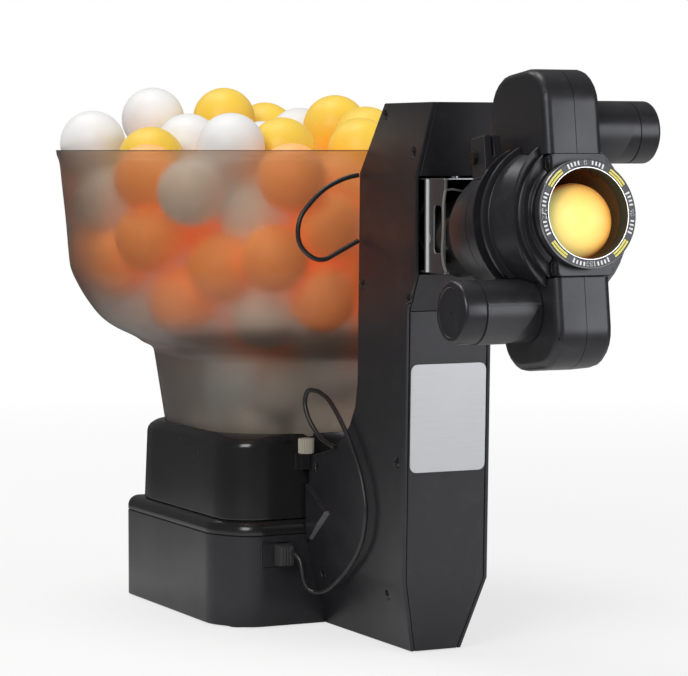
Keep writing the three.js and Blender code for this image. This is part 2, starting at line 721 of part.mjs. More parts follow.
function makePanels() {
  const frame = towerSolid.intersect(alongForward(widthOutline(skin + seamGap), 0, reach))
    .subtract(towerRoom).subtract(windowCut);
  const [low, wide] = [foot.proud + skin + seamGap, tower.halfWidth];
  const part = (back, front, bottom, top) => frame.intersect(block3(-wide, wide, back, front, bottom, top));

  add(machine, 'hood_panel', part(tower.hoodRear + seamGap, reach, tower.windowTop, reach), finishes.black);
  const spine = cut(part(0, tower.hoodRear, low + seamGap, reach), ductHole(0, bootBack + skin + overrun));
  add(machine, 'tower_spine', spine, finishes.black);
  const front = joined(
    part(tower.hoodRear + seamGap, reach, 0, tower.coverTopHeight - seamGap), part(0, reach, 0, low),
  );
  add(machine, 'lower_front_cover', front, finishes.black);
  const sill = part(tower.hoodRear, reach, tower.coverTopHeight, reach);
  const sillOnly = sill.intersect(block3(-wide, wide, 0, reach, 0, tower.windowBottom));
  const plateTop = tower.windowBottom - seamGap;
  const pinRoom = rod(yoke.pinRadius + runningGap / 2, 0, reach, axisZ, [0, -yoke.axis, 0], facets.rod);
  const plate = bearingPlate(plateTop - bearing.thick, bearing.backBelow);
  const shanks = coverScrews.map(({ forward, height }) => rod(
    screw.shankRadius + seamGap, tower.halfWidth - screw.seat - screw.shankLength - overrun, reach,
    axisX.clone().negate(), [0, -forward, height], facets.bit,
  ));
  add(machine, 'window_sill', cut(joined(sillOnly, plate), pinRoom, ...shanks), finishes.black);
  add(machine, 'bearing_plate', bearingPlate(tower.windowTop + seamGap, bearing.back), finishes.grey);
}

// A plate across the inside of the tower, with the hole for a pin of the yoke
function bearingPlate(low, back) {
  const half = tower.halfWidth - skin - seamGap;
  const front = tower.window - bearing.frontInset;
  return cut(
    block3(-half, half, yoke.axis - back, front, low, low + bearing.thick),
    rod(yoke.pinRadius + runningGap / 2, 0, reach, axisZ, [0, -yoke.axis, 0], facets.rod),
  );
}

function makeLabel() {
  const t = tower;
  const lean = Math.atan2(t.coverTop - t.knee, t.coverTopHeight - t.taperHeight);
  const middle = label.bottom + label.height / 2;
  const face = t.knee + (middle - t.taperHeight) * Math.tan(lean);
  const sheet = rectangle(label.width / 2, -label.height / 2, label.height / 2);
  const outline = filleted(sheet, label.round, facets.corner);
  const holder = new THREE.Group();
  holder.position.set(0, -face, middle);
  holder.rotation.x = lean;
  add(holder, 'label_plate', alongForward(outline, seamGap / 2, seamGap / 2 + label.thick), finishes.silver);
  machine.add(holder);
}

// Ball tube: rings square to a path of [forward, up, heading forward, heading up], outside and back
// along the bore
function tube(path) {
  const wall = (radius, [forward, up, du, dz]) => Array.from({ length: facets.rod }, (unused, k) => {
    const angle = (2 * Math.PI * k) / facets.rod;
    const [across, rise] = [radius * Math.cos(angle), radius * Math.sin(angle)];
    return new THREE.Vector3(across, -(forward - dz * rise), up + du * rise);
  });
  const outside = path.map((station) => wall(pipe.outer, station));
  const inside = path.map((station) => wall(pipe.bore, station)).reverse();
  return ringSurface([...outside, ...inside], true);
}

function bend(middle, from, to) {
  const way = Math.sign(to - from);
  return Array.from({ length: facets.cap + 1 }, (unused, k) => {
    const angle = THREE.MathUtils.degToRad(from + ((to - from) * k) / facets.cap);
    const [c, s] = [Math.cos(angle), Math.sin(angle)];
    return [middle[0] + pipe.bend * c, middle[1] + pipe.bend * s, -s * way, c * way];
  });
}

function makeTubes() {
  const first = [feed.pitchRadius + pipe.bend, ductHeight + pipe.bend];
  const second = [riserForward - pipe.bend, ductHeight + pipe.bend];
  add(machine, 'feed_duct', tube([...bend(first, 180, 270), ...bend(second, 270, 360)]), finishes.black);
  const riserLow = ductHeight + pipe.bend + seamGap;
  const riserHigh = outletHeight - pipe.bend;
  const riser = tube([[riserForward, riserLow, 0, 1], [riserForward, riserHigh, 0, 1]]);
  add(machine, 'riser_tube', riser, finishes.black);
  const third = [riserForward + pipe.bend, outletHeight - pipe.bend + seamGap];
  const outletPath = [...bend(third, 180, 90), [outletEnd, third[1] + pipe.bend, 1, 0]];
  add(machine, 'outlet_elbow', tube(outletPath), finishes.black);
}

// Swivel

const yokeTop = tower.windowTop - yoke.plateGap;
const yokeBottom = tower.windowBottom + yoke.plateGap;

function yokePlate(low) {
  const disc = rod(yoke.backRadius, low, low + yoke.sheet, axisZ, [0, -yoke.axis, 0], facets.barrel);
  const apron = block3(-yoke.halfWidth, yoke.halfWidth, yoke.axis, yoke.plateFront, low, low + yoke.sheet);
  const slot = block3(-yoke.slotWidth / 2, yoke.slotWidth / 2, yoke.slotBack, reach, 0, reach);
  return cut(joined(disc, apron), slot);
}

const tiltPinPlace = (() => {
  const pitch = THREE.MathUtils.degToRad(head.pitch);
  return [0, -head.forward + head.pinBack * Math.cos(pitch), head.height - head.pinBack * Math.sin(pitch)];
})();

function yokeArm(side) {
  const outline = filleted([
    [yoke.armBack, yokeBottom], [yoke.armFront, yokeBottom], [yoke.armFront, yokeTop], [yoke.armBack, yokeTop],
  ], yoke.sheet, facets.edge);
  const window = filleted([
    [yoke.cutoutBack, yoke.cutoutBottom], [yoke.cutoutFront, yoke.cutoutBottom],
    [yoke.cutoutFront, yoke.cutoutTop], [yoke.cutoutBack, yoke.cutoutTop],
  ], yoke.cutoutRound, facets.soft);
  const faces = [side * yoke.halfWidth, side * (yoke.halfWidth - yoke.sheet)];
  const [left, right] = [Math.min(...faces), Math.max(...faces)];
  const pinHole = rod(sleeve.pin + runningGap / 2, -reach, reach, axisX, tiltPinPlace, facets.rod);
  return cut(acrossX(outline, left, right), acrossX(window, left - overrun, right + overrun), pinHole);
}

function makeYoke() {
  const pins = joined(
    rod(yoke.pinRadius, yokeTop - yoke.sheet, yokeTop + yoke.pinLength, axisZ,
      [0, -yoke.axis, 0], facets.rod),
    rod(yoke.pinRadius, yokeBottom - yoke.pinLength / 2, yokeBottom + yoke.sheet, axisZ,
      [0, -yoke.axis, 0], facets.rod),
  );
  const body = joined(yokePlate(yokeTop - yoke.sheet), yokePlate(yokeBottom), yokeArm(-1), yokeArm(1), pins);
  add(machine, 'swivel_yoke', body, finishes.grey);
}

// A gear outline of straight-sided teeth, the tooth or gap centred on the start angle
function gearOutline(teeth, centre, start, toothFirst) {
  const pitch = (gear.module * teeth) / 2;
  const step = (2 * Math.PI) / teeth;
  const [tip, root] = [pitch + gear.tip, pitch - gear.root];
  const thin = gear.backlash / pitch / 2;
  const shape = [
    [root, -gear.rootShare], [tip, -gear.tipShare], [tip, gear.tipShare], [root, gear.rootShare],
  ];
  return Array.from({ length: teeth }, (unused, k) => {
    const middle = start + step * k + (toothFirst ? 0 : step / 2);
    return shape.map(([radius, share]) => {
      const angle = middle + step * share - Math.sign(share) * thin;
      return [centre[0] + radius * Math.cos(angle), centre[1] + radius * Math.sin(angle)];
    });
  }).flat();
}

function makeSwivelDrive() {
  const low = tower.windowTop + seamGap + bearing.thick + gear.lift;
  const high = low + gear.thick;
  const sectorRadius = (gear.module * gear.sectorTeeth) / 2;
  const pinionForward = yoke.axis - sectorRadius - (gear.module * gear.pinionTeeth) / 2;
  const rearwards = Math.PI / 2;
  const full = upright(gearOutline(gear.sectorTeeth, [0, -yoke.axis], rearwards, true), low, high);
  const half = THREE.MathUtils.degToRad(sectorSpread / 2);
  const fan = [[0, -yoke.axis - skin]];
  for (const share of [-1, -1 / 2, 0, 1 / 2, 1]) {
    const angle = half * share;
    fan.push([-Math.sin(angle) * gear.fanReach, Math.cos(angle) * gear.fanReach - yoke.axis]);
  }
  const hub = rod(gear.hub, low, high, axisZ, [0, -yoke.axis, 0], facets.motor);
  const hole = rod(yoke.pinRadius + seamGap / 2, 0, reach, axisZ, [0, -yoke.axis, 0], facets.rod);
  const sector = cut(joined(full.intersect(upright(fan.reverse(), low - overrun, high + overrun)), hub), hole);
  add(machine, 'sector_gear', sector, finishes.nylon);

  const pinion = upright(gearOutline(gear.pinionTeeth, [0, -pinionForward], -rearwards, false), low, high);
  const stub = rod(gear.shaftRadius, low, high + skin * 2, axisZ, [0, -pinionForward, 0], facets.small);
  add(machine, 'swivel_pinion', joined(pinion, stub), finishes.nylon);

  const boxLow = high + skin;
  const well = rod(gear.shaftRadius + runningGap, 0, boxLow + swivelBox.well, axisZ,
    [0, -pinionForward, 0], facets.small);
  const [b, h] = [swivelBox.half, swivelBox.height];
  const box = cut(block3(-b, b, pinionForward - b, pinionForward + b, boxLow, boxLow + h), well);
  const wing = tower.halfWidth - skin - seamGap;
  const shelf = cut(
    block3(-wing, wing, pinionForward - b, pinionForward + b, boxLow + skin, boxLow + skin * 2), well,
  );
  add(machine, 'swivel_gearbox', joined(box, shelf), finishes.nylon);
  const motorLow = boxLow + h + seamGap;
  const motorHigh = Math.min(motorLow + swivelMotor.length, tower.top - skin - seamGap);
  const body = rod(swivelMotor.radius, motorLow, motorHigh, axisZ, [0, -pinionForward, 0], facets.motor);
  add(machine, 'swivel_motor', body, finishes.grey);
}

// Head, in its own group: forward is -Y there too, and up is square to the barrel

const middle = [0, 0, 0];

function makeTilt() {
  const bore = pipe.bore;
  const outer = bore + sleeve.wall;
  const profile = [
    [bore, sleeve.rear], [outer, sleeve.rear], [outer, sleeve.step], [sleeve.journal, sleeve.step],
    [sleeve.journal, sleeve.front], [bore, sleeve.front], [bore, sleeve.rear],
  ];
  add(headGroup, 'tilt_sleeve', turned(profile, ahead, middle, facets.journal), finishes.black);
  for (const [side, name] of [[-1, 'left'], [1, 'right']]) {
    const pin = rod(sleeve.pin, outer + seamGap / 2, yoke.halfWidth, axisX.clone().multiplyScalar(side),
      [0, head.pinBack, 0], facets.rod);
    add(headGroup, `tilt_pin_${name}`, pin, finishes.steel);
  }
  const journal = sleeve.journal + seamGap;
  const shroudProfile = [
    [journal, shroud.rear], [shroud.rearRadius, shroud.rear],
    ...curve([shroud.rearRadius + skin, shroud.rear + skin], [shroud.radius, shroud.midForward],
      [shroud.radius, shroud.front], facets.bow),
    [shroud.radius - shroud.wall, shroud.front], [shroud.radius - shroud.wall, shroud.midForward],
    [shroud.rearRadius, shroud.rear + shroud.bossLength], [journal, shroud.rear + shroud.bossLength],
    [journal, shroud.rear],
  ];
  add(headGroup, 'rear_shroud', turned(shroudProfile, ahead, middle, facets.barrel), finishes.black);
}

// The ear beside the rear flange, and the screw through it
function lugForm() {
  const { left, right, back, front, low, high, screwRadius } = lug;
  const corners = [[-left, low], [-right, low], [-right, high], [-left, high]];
  const ear = filleted(corners, screwRadius / 2, facets.edge);
  const centre = [0, -lug.screwBack, lug.screwHeight];
  const hole = rod(screwRadius + seamGap, -left * 2, 0, axisX, centre, facets.small);
  const slit = block3(
    -(left + right) / 2 - lug.slit / 2, -(left + right) / 2 + lug.slit / 2, back - overrun, front + overrun,
    (low + high) / 2, high + overrun,
  );
  return { body: alongForward(ear, back, front), voids: [hole, slit], centre };
}

function makeLockScrew() {
  const { centre } = lugForm();
  const face = lug.left + seamGap;
  const profile = [
    [0, lug.right - skin], [lug.screwRadius, lug.right - skin], [lug.screwRadius, face],
    [lug.screwHead, face], [lug.screwHead, face + skin], [0, face + skin],
  ];
  const body = turned(profile, axisX.clone().negate(), centre, facets.small);
  add(headGroup, 'roll_lock_screw', body, finishes.steel);
}

// The barrel's outer form, or the room inside it when thinned by its wall: round behind, and oval
// towards the mouth block
function barrelForm(thinner) {
  const b = barrel;
  const stations = [
    [b.rearRadius, b.rearRadius, b.rear], [b.rearRadius, b.rearRadius, b.firstFlange],
    [b.grooveRadius, b.grooveRadius, b.firstFlange + b.flange], [b.grooveRadius, b.grooveRadius, b.secondFlange],
    [b.coneRadius, b.coneRadius, b.secondFlange + b.flange], [b.waistWide, b.waistTall, b.waist],
    [b.noseRadius, b.noseRadius + b.flange, b.fourthFlange + b.flange], [b.noseRadius, b.noseRadius, b.nose],
  ];
  const core = ringSurface(
    stations.map(([wide, tall, forward]) => ellipseRing(wide - thinner, tall - thinner, forward)), false,
  );
  if (thinner > 0) return core;
  const disc = (wide, tall, start) => ringSurface(
    [ellipseRing(wide, tall, start), ellipseRing(wide, tall, start + b.flange)], false,
  );
  return joined(
    core, disc(b.flangeRadius, b.flangeRadius, b.firstFlange), disc(b.flangeRadius, b.flangeRadius, b.secondFlange),
    disc(b.thirdWide, b.thirdTall, b.thirdFlange), disc(b.fourthWide, b.fourthTall, b.fourthFlange),
  );
}

function makeBarrel() {
  const room = barrelForm(barrel.wall).intersect(
    block3(-reach, reach, barrel.rear + barrel.wall, reach, -reach, reach),
  );
  const noseRoom = rod(dial.sleeveOuter + seamGap, barrel.waist, barrel.nose + overrun,
    ahead, middle, facets.journal);
  const ear = lugForm();
  const keep = housing.halfWidth + seamGap;
  const far = barrel.flangeRadius * 2;
  const slot = block3(-keep, keep, 0, reach, -far, far);
  const shell = cut(joined(cut(barrelForm(0), room), ear.body), slot);
  const backRing = rod(barrel.collarRadius, barrel.rear, sleeve.front - seamGap, ahead, middle, facets.journal);
  const journalRoom = rod(sleeve.journal + seamGap, 0, sleeve.front, ahead, middle, facets.journal);
  const motorRooms = [1, -1].map((up) => {
    const { side, centre } = coverOf(up);
    return rod(drive.coverRadius + seamGap, 0, reach, axisX.clone().multiplyScalar(side), centre, facets.journal);
  });
  const body = cut(joined(shell, backRing), journalRoom, noseRoom, ...ear.voids, ...motorRooms);
  add(headGroup, 'barrel', body, finishes.black);
  const slotHalf = wheel.width / 2 + runningGap * 2;
  const slotLong = Math.sqrt(wheel.radius ** 2 - (wheel.height - pipe.bore - guide.wall) ** 2) + runningGap * 3;
  const slots = block3(
    -slotHalf, slotHalf, wheel.forward - slotLong, wheel.forward + slotLong, -wheel.height, wheel.height,
  );
  const pipeBody = ring(pipe.bore, pipe.bore + guide.wall, sleeve.front + runningGap, guide.front,
    ahead, middle, facets.journal);
  add(headGroup, 'ball_guide', cut(pipeBody, slots), finishes.black);
}

function housingOutline(distance, up) {
  const h = housing;
  const end = (up > 0 ? h.top : h.bottom) - distance;
  const depth = h.halfDepth - distance;
  const corners = [
    [wheel.forward - depth, h.foot], [wheel.forward + depth, h.foot],
    [wheel.forward + depth, end], [wheel.forward - depth, end],
  ];
  const rounded = filleted(corners, h.cornerRound - distance, facets.cap);
  const perCorner = facets.cap + 1;
  const outline = [corners[0], corners[1], ...rounded.slice(perCorner * 2)];
  return up > 0 ? outline : outline.map(([forward, height]) => [forward, -height]).reverse();
}

// The housing's outside: outlines across the width, drawn in round the two edges
function housingForm(up) {
  const { halfWidth, edge } = housing;
  const arcSteps = facets.soft;
  const rings = [];
  const push = (distance, x) => {
    rings.push(housingOutline(distance, up).map(([forward, height]) => new THREE.Vector3(x, -forward, height)));
  };
  for (let k = 0; k <= arcSteps; k += 1) {
    const angle = (Math.PI / 2) * (k / arcSteps);
    push(edge * (1 - Math.sin(angle)), -halfWidth + edge * (1 - Math.cos(angle)));
  }
  for (let k = arcSteps; k >= 0; k -= 1) {
    const angle = (Math.PI / 2) * (k / arcSteps);
    push(edge * (1 - Math.sin(angle)), halfWidth - edge * (1 - Math.cos(angle)));
  }
  return ringSurface(rings, false);
}

function coverOf(up) {
  const side = up > 0 ? 1 : -1;
  const reachOut = up > 0 ? drive.upperReach : drive.lowerReach;
  return { side, reachOut, centre: [0, -wheel.forward, up * wheel.height] };
}

function makeHousing(up, prefix) {
  const { side, centre } = coverOf(up);
  const inner = housing.halfWidth - housing.wall;
  const depth = housing.halfDepth - housing.wall;
  const room = acrossX(housingOutline(housing.wall, up), -inner, inner);
  const mouth = block3(
    -inner, inner, wheel.forward - depth, wheel.forward + depth,
    Math.min(0, up * housing.foot * 2), Math.max(0, up * housing.foot * 2),
  );
  const out = axisX.clone().multiplyScalar(side);
  const motorHole = rod(drive.motorRadius + runningGap, 0, reach, out, centre, facets.motor);
  const shell = cut(housingForm(up), room, mouth, motorHole);
  const split = housing.splitAcross;
  const far = housing.halfWidth * 2;
  const floor = up > 0 ? [0, reach] : [-reach, 0];
  for (const [left, right, name] of [[-far, split - seamGap / 2, 'left'], [split + seamGap / 2, far, 'right']]) {
    const half = shell.intersect(block3(left, right, 0, wheel.forward * 2, ...floor));
    add(headGroup, `${prefix}_housing_${name}`, half, finishes.black);
  }
}

function makeWheel(up, prefix) {
  const [half, centre] = [wheel.width / 2, [0, -wheel.forward, up * wheel.height]];
  const inner = wheel.hubRadius;
  const tyre = turned([
    [inner, -half], [wheel.radius, -half], [wheel.radius - wheel.groove, 0], [wheel.radius, half], [inner, half],
    [inner, -half],
  ], axisX, centre, facets.journal);
  add(headGroup, `${prefix}_tyre`, tyre, finishes.rubber);
  const { side } = coverOf(up);
  const rimOuter = wheel.hubRadius - seamGap;
  const hub = turned([
    [0, -half + skin], [rimOuter, -half], [rimOuter, half], [rimOuter - skin, half], [rimOuter - skin, skin],
    [0, skin],
  ], axisX.clone().multiplyScalar(side), centre, facets.disc);
  add(headGroup, `${prefix}_wheel_hub`, hub, finishes.orange);
}

function makeMotor(up, prefix) {
  const { side, reachOut, centre } = coverOf(up);
  const out = axisX.clone().multiplyScalar(side);
  const start = housing.halfWidth + seamGap;
  const d = drive;
  const outer = d.coverRadius;
  const endArc = curve(
    [outer, reachOut - d.endRound], [outer, reachOut], [outer - d.endRound, reachOut], facets.corner,
  );
  const profile = [
    [outer - d.wall, start], [outer, start], ...endArc, [0, reachOut], [0, reachOut - d.wall],
    [outer - d.endRound, reachOut - d.wall], [outer - d.wall, reachOut - d.endRound], [outer - d.wall, start],
  ];
  add(headGroup, `${prefix}_motor_cover`, turned(profile, out, centre, facets.journal), finishes.black);
  const motorStart = wheel.width / 2 + skin;
  const motorEnd = motorStart + d.motorLength;
  const motorProfile = [
    [0, skin + seamGap], [d.shaftRadius, skin + seamGap], [d.shaftRadius, motorStart], [d.motorRadius, motorStart],
    [d.motorRadius, motorEnd], [0, motorEnd],
  ];
  add(headGroup, `${prefix}_motor`, turned(motorProfile, out, centre, facets.motor), finishes.grey);
}

function makeMouth() {
  const b = block;
  const outline = filleted(rectangle(b.halfWidth, -b.halfHeight, b.halfHeight), b.round, facets.edge);
  const body = cut(
    alongForward(outline, b.rear, b.front),
    rod(dial.sleeveOuter + seamGap, b.rear - overrun, b.front + overrun, ahead, middle, facets.journal),
  );
  const upper = body.intersect(block3(-reach, reach, 0, reach, 0, reach));
  const lower = body.intersect(block3(-reach, reach, 0, reach, -reach, 0));
  add(headGroup, 'mouth_block_upper', upper, finishes.black);
  add(headGroup, 'mouth_block_lower', lower, finishes.black);
  const profile = [
    [dial.inner, dial.sleeveRear], [dial.sleeveOuter, dial.sleeveRear],
    [dial.sleeveOuter, dial.flangeRear], [dial.outer, dial.flangeRear], [dial.outer, head.mouth - dial.chamfer],
    [dial.outer - dial.chamfer, head.mouth], [dial.inner + dial.innerChamfer, head.mouth],
    [dial.inner, head.mouth - dial.innerChamfer], [dial.inner, dial.sleeveRear],
  ];
  add(headGroup, 'dial_ring', turned(profile, ahead, middle, facets.barrel), finishes.black);
}

// Leads: tubes along routes of hand-set points

const lowerRoute = [
  [-40.9, -89, 42.2], [-41.2, -92, 36], [-38.5, -94, 27.5], [-35.4, -95.5, 24.5], [-32, -100, 23.3],
  [-31, -116, 28.6], [-31, -140.3, 43.2], [-31, -155.9, 58.2], [-31, -161.6, 73.2], [-31, -161, 84.6],
  [-31, -153.2, 101.5], [-31, -135, 122.2], [-31, -116.4, 136.3], [-31.3, -104.5, 140.8], [-32, -98, 142],
  [-34.4, -92, 141.5], [-35.3, -90, 134.4], [-34.6, -94, 125.2], [-31.8, -101, 116.3], [-30.2, -110, 112.2],
  [-28.4, -116.5, 110.4],
];
const upperRoute = [
  [-28.4, -147.3, 268.8], [-36.2, -147, 267.1], [-45.7, -147, 263.2], [-53.2, -147, 258.2], [-61, -147, 250.4],
  [-65, -147, 244.2], [-66.3, -147, 236.9], [-65.1, -147, 230.1], [-61, -147, 225], [-55.1, -147, 221.5],
  [-48.8, -147, 221.4], [-41.9, -147, 224.7], [-28.4, -147, 231.5],
];

function makeLead(name, route) {
  const points = route.map((point) => new THREE.Vector3(...point));
  const path = new THREE.CatmullRomCurve3(points, false, 'centripetal');
  const section = new THREE.Shape(Array.from({ length: lead.sides }, (unused, k) => {
    const angle = (2 * Math.PI * k) / lead.sides;
    return new THREE.Vector2(lead.radius * Math.cos(angle), lead.radius * Math.sin(angle));
  }));
  const steps = Math.round(path.getLength() / lead.step);
  const geometry = new THREE.ExtrudeGeometry(section, { steps, extrudePath: path, bevelEnabled: false });
  add(machine, name, solid(geometry), finishes.cord);
}

makeBase();
makeFeet();
makeJack();
makeGrommet();
makeCollar();
makeThumbNut();
makeFeeder();
makeHopper();
makeCovers();
makePanels();
makeLabel();
makeTubes();
makeYoke();
makeSwivelDrive();
makeTilt();
makeBarrel();
makeLockScrew();
makeHousing(1, 'upper');
makeHousing(-1, 'lower');
makeWheel(1, 'upper');
makeWheel(-1, 'lower');
makeMotor(1, 'upper');
makeMotor(-1, 'lower');
makeMouth();
machine.add(headGroup);

// The origin moves to the middle of the floor area that the machine covers, its leads left out.
const extent = new THREE.Box3().setFromObject(machine, true);
const centre = extent.getCenter(new THREE.Vector3());
makeLead('lower_lead', lowerRoute);
makeLead('upper_lead', upperRoute);
const robot = new THREE.Group();
machine.position.set(-centre.x, -centre.y, -extent.min.z);
robot.add(machine);

export default robot;
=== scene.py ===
"""Table tennis robot: a smoky ball hopper on a feeder base, a black tower, and a throwing head.

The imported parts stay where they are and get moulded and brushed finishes. Pieces with finer form than
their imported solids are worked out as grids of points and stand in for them. Lengths inside the shape
functions are millimetres in the machine's own frame: x to the right, forward towards the mouth counted
from the hopper's axis, and height above the floor.
"""

import math

import bmesh
import bpy
import numpy as np
from bpy.props import BoolProperty, FloatProperty, FloatVectorProperty, IntProperty, PointerProperty
from mathutils import Matrix, Vector


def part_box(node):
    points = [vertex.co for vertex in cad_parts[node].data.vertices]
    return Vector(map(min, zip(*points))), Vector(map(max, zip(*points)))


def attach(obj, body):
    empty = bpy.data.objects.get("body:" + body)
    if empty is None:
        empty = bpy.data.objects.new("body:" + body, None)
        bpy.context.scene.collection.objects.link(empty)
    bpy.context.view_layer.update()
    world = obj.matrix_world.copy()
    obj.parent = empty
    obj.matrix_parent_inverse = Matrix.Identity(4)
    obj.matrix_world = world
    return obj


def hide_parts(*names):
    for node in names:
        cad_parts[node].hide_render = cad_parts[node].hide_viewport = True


bl_info = {
    "name": "Table tennis robot",
    "version": (1, 0, 0),
    "blender": (4, 5, 0),
    "location": "View3D > Sidebar > Robot",
    "description": "Finishes and fine pieces of a table tennis robot round its packed parts",
    "category": "Object",
}

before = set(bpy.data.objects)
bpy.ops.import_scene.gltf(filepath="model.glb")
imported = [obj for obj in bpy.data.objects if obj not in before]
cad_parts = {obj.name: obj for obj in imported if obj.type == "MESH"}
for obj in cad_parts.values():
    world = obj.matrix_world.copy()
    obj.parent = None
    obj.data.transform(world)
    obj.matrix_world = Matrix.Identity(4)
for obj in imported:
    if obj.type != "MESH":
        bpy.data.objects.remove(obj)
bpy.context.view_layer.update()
MM = 0.001

# The hopper's axis gives the machine's frame, and its box the rim
HOPPER_LOW, HOPPER_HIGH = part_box("hopper")
AXIS_Y = (HOPPER_LOW.y + HOPPER_HIGH.y) / 2
RIM_RADIUS = (HOPPER_HIGH.x - HOPPER_LOW.x) / 2 / MM
RIM_HEIGHT = HOPPER_HIGH.z / MM
HOPPER_FOOT = HOPPER_LOW.z / MM

# Throwing head: its origin and pitch, and the throwing wheels' centres along the barrel and off its axis
HEAD_FORWARD, HEAD_HEIGHT, HEAD_PITCH = 227.9, 235.4, math.radians(7)
WHEEL_FORWARD, WHEEL_HEIGHT = 89.0, 46.4
SIDES = ((-1, "left"), (1, "right"))


# Frames: machine and head coordinates to metres in the row frame


def machine_points(x, forward, height):
    """Points in metres from x, forward and height in millimetres, which may be arrays of one shape."""
    x, forward, height = np.broadcast_arrays(x, forward, height)
    return np.stack([x * MM, AXIS_Y - forward * MM, height * MM], -1).astype(float)


def head_points(x, along, up):
    """Points in metres from head coordinates: along the barrel and square to it, turned by the pitch."""
    c, s = math.cos(HEAD_PITCH), math.sin(HEAD_PITCH)
    along, up = np.asarray(along, float), np.asarray(up, float)
    return machine_points(x, HEAD_FORWARD + along * c - up * s, HEAD_HEIGHT + along * s + up * c)


# Meshes: grids of points to closed, smooth pieces

SHARP_ANGLE, MERGE = 35, 0.02 * MM
CORNER_CUT = 0.25
ROUTE_SIDE = (0.3, 0.2, 0.9)


def grid_faces(rows, cols, wrap_rows=False, wrap_cols=True):
    """Quads between neighbours of a grid of rows by cols points, joined round where it wraps."""
    row_count, col_count = rows if wrap_rows else rows - 1, cols if wrap_cols else cols - 1
    r, c = np.meshgrid(np.arange(row_count), np.arange(col_count), indexing="ij")
    r2, c2 = (r + 1) % rows, (c + 1) % cols
    return np.stack([r * cols + c, r * cols + c2, r2 * cols + c2, r2 * cols + c], -1).reshape(-1, 4)


def tidy_mesh(mesh, angle, merge):
    """Doubles merged so that poles and seams close, normals facing out, and edges sharp past the angle."""
    work = bmesh.new()
    work.from_mesh(mesh)
    bmesh.ops.remove_doubles(work, verts=work.verts, dist=merge)
    bmesh.ops.dissolve_degenerate(work, edges=work.edges, dist=merge / 2)
    bmesh.ops.recalc_face_normals(work, faces=work.faces)
    if work.calc_volume(signed=True) < 0:
        bmesh.ops.reverse_faces(work, faces=work.faces)
    work.to_mesh(mesh)
    work.free()
    mesh.polygons.foreach_set("use_smooth", np.ones(len(mesh.polygons), bool))
    mesh.set_sharp_from_angle(angle=math.radians(angle))
    mesh.update()


def new_piece(name, grids, material, body, sharp=SHARP_ANGLE, merge=MERGE):
    """One object from several grids, each (points, faces), fixed to a body."""
    points, faces, start = [], [], 0
    for place, quads in grids:
        place = np.asarray(place, float).reshape(-1, 3)
        points.append(place)
        faces.append(np.asarray(quads) + start)
        start += len(place)
    mesh = bpy.data.meshes.new(name)
    mesh.from_pydata(np.concatenate(points).tolist(), [], np.concatenate(faces).tolist())
    tidy_mesh(mesh, sharp, merge)
    mesh.materials.append(material)
    piece = bpy.data.objects.new(name, mesh)
    bpy.context.scene.collection.objects.link(piece)
    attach(piece, body)
    return piece


def stand_in(piece, node):
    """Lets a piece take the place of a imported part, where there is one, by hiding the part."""
    if node:
        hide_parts(node)
    return piece


def capped(rows):
    """Rings with the middle of the first and the last one added at the ends, so that they close."""
    low = rows[:1].mean(1, keepdims=True) + 0 * rows[:1]
    high = rows[-1:].mean(1, keepdims=True) + 0 * rows[-1:]
    return np.concatenate([low, rows, high])


def grid_border(grid):
    """The points along the four edges of a grid, once round."""
    return np.concatenate([grid[0], grid[1:, -1], grid[-1, -2::-1], grid[-2:0:-1, 0]])


def closed_sheet(over, under):
    """Two grids of one shape and the wall between their edges, which together close."""
    faces = grid_faces(*over.shape[:2], wrap_cols=False)
    wall = np.stack([grid_border(over), grid_border(under)])
    return [(over, faces), (under, faces), (wall, grid_faces(2, wall.shape[1]))]


def rounded(profile, rounds):
    """A profile with its corners cut off again and again, each cut at a quarter of the two edges."""
    points = np.asarray(profile, float)
    for _ in range(rounds):
        near = points[:-1] * (1 - CORNER_CUT) + points[1:] * CORNER_CUT
        far = points[:-1] * CORNER_CUT + points[1:] * (1 - CORNER_CUT)
        points = np.concatenate([points[:1], np.stack([near, far], 1).reshape(-1, 2), points[-1:]])
    return points


def turned(profile, placed, sides, start=0.0):
    """A profile of (radius, along) carried round an axis; placed(a, b, along) gives the point whose
    offsets square to the axis are a = radius cos t and b = radius sin t."""
    profile = np.asarray(profile, float)
    t = start + np.linspace(0, 2 * math.pi, sides, endpoint=False)
    radius, along = profile[:, :1], profile[:, 1:]
    points = placed(radius * np.cos(t), radius * np.sin(t), along + 0 * t)
    return points, grid_faces(len(profile), sides)


def close_profile(profile, placed, sides):
    """A closed profile carried round an axis, as a ring that closes both ways."""
    points, _ = turned(profile, placed, sides)
    return points, grid_faces(len(profile), sides, wrap_rows=True)


def along_barrel(a, b, along):
    """Head points with the turned axis along the barrel."""
    return head_points(a, along, b)


def across_head(up, side):
    """Head points with the turned axis across the head, through a throwing wheel's centre."""
    return lambda a, b, along: head_points(side * along, WHEEL_FORWARD + a, up * WHEEL_HEIGHT + b)


def upright_at(x, forward):
    """Machine points with the turned axis upright."""
    return lambda a, b, along: machine_points(x + a, forward + b, along)


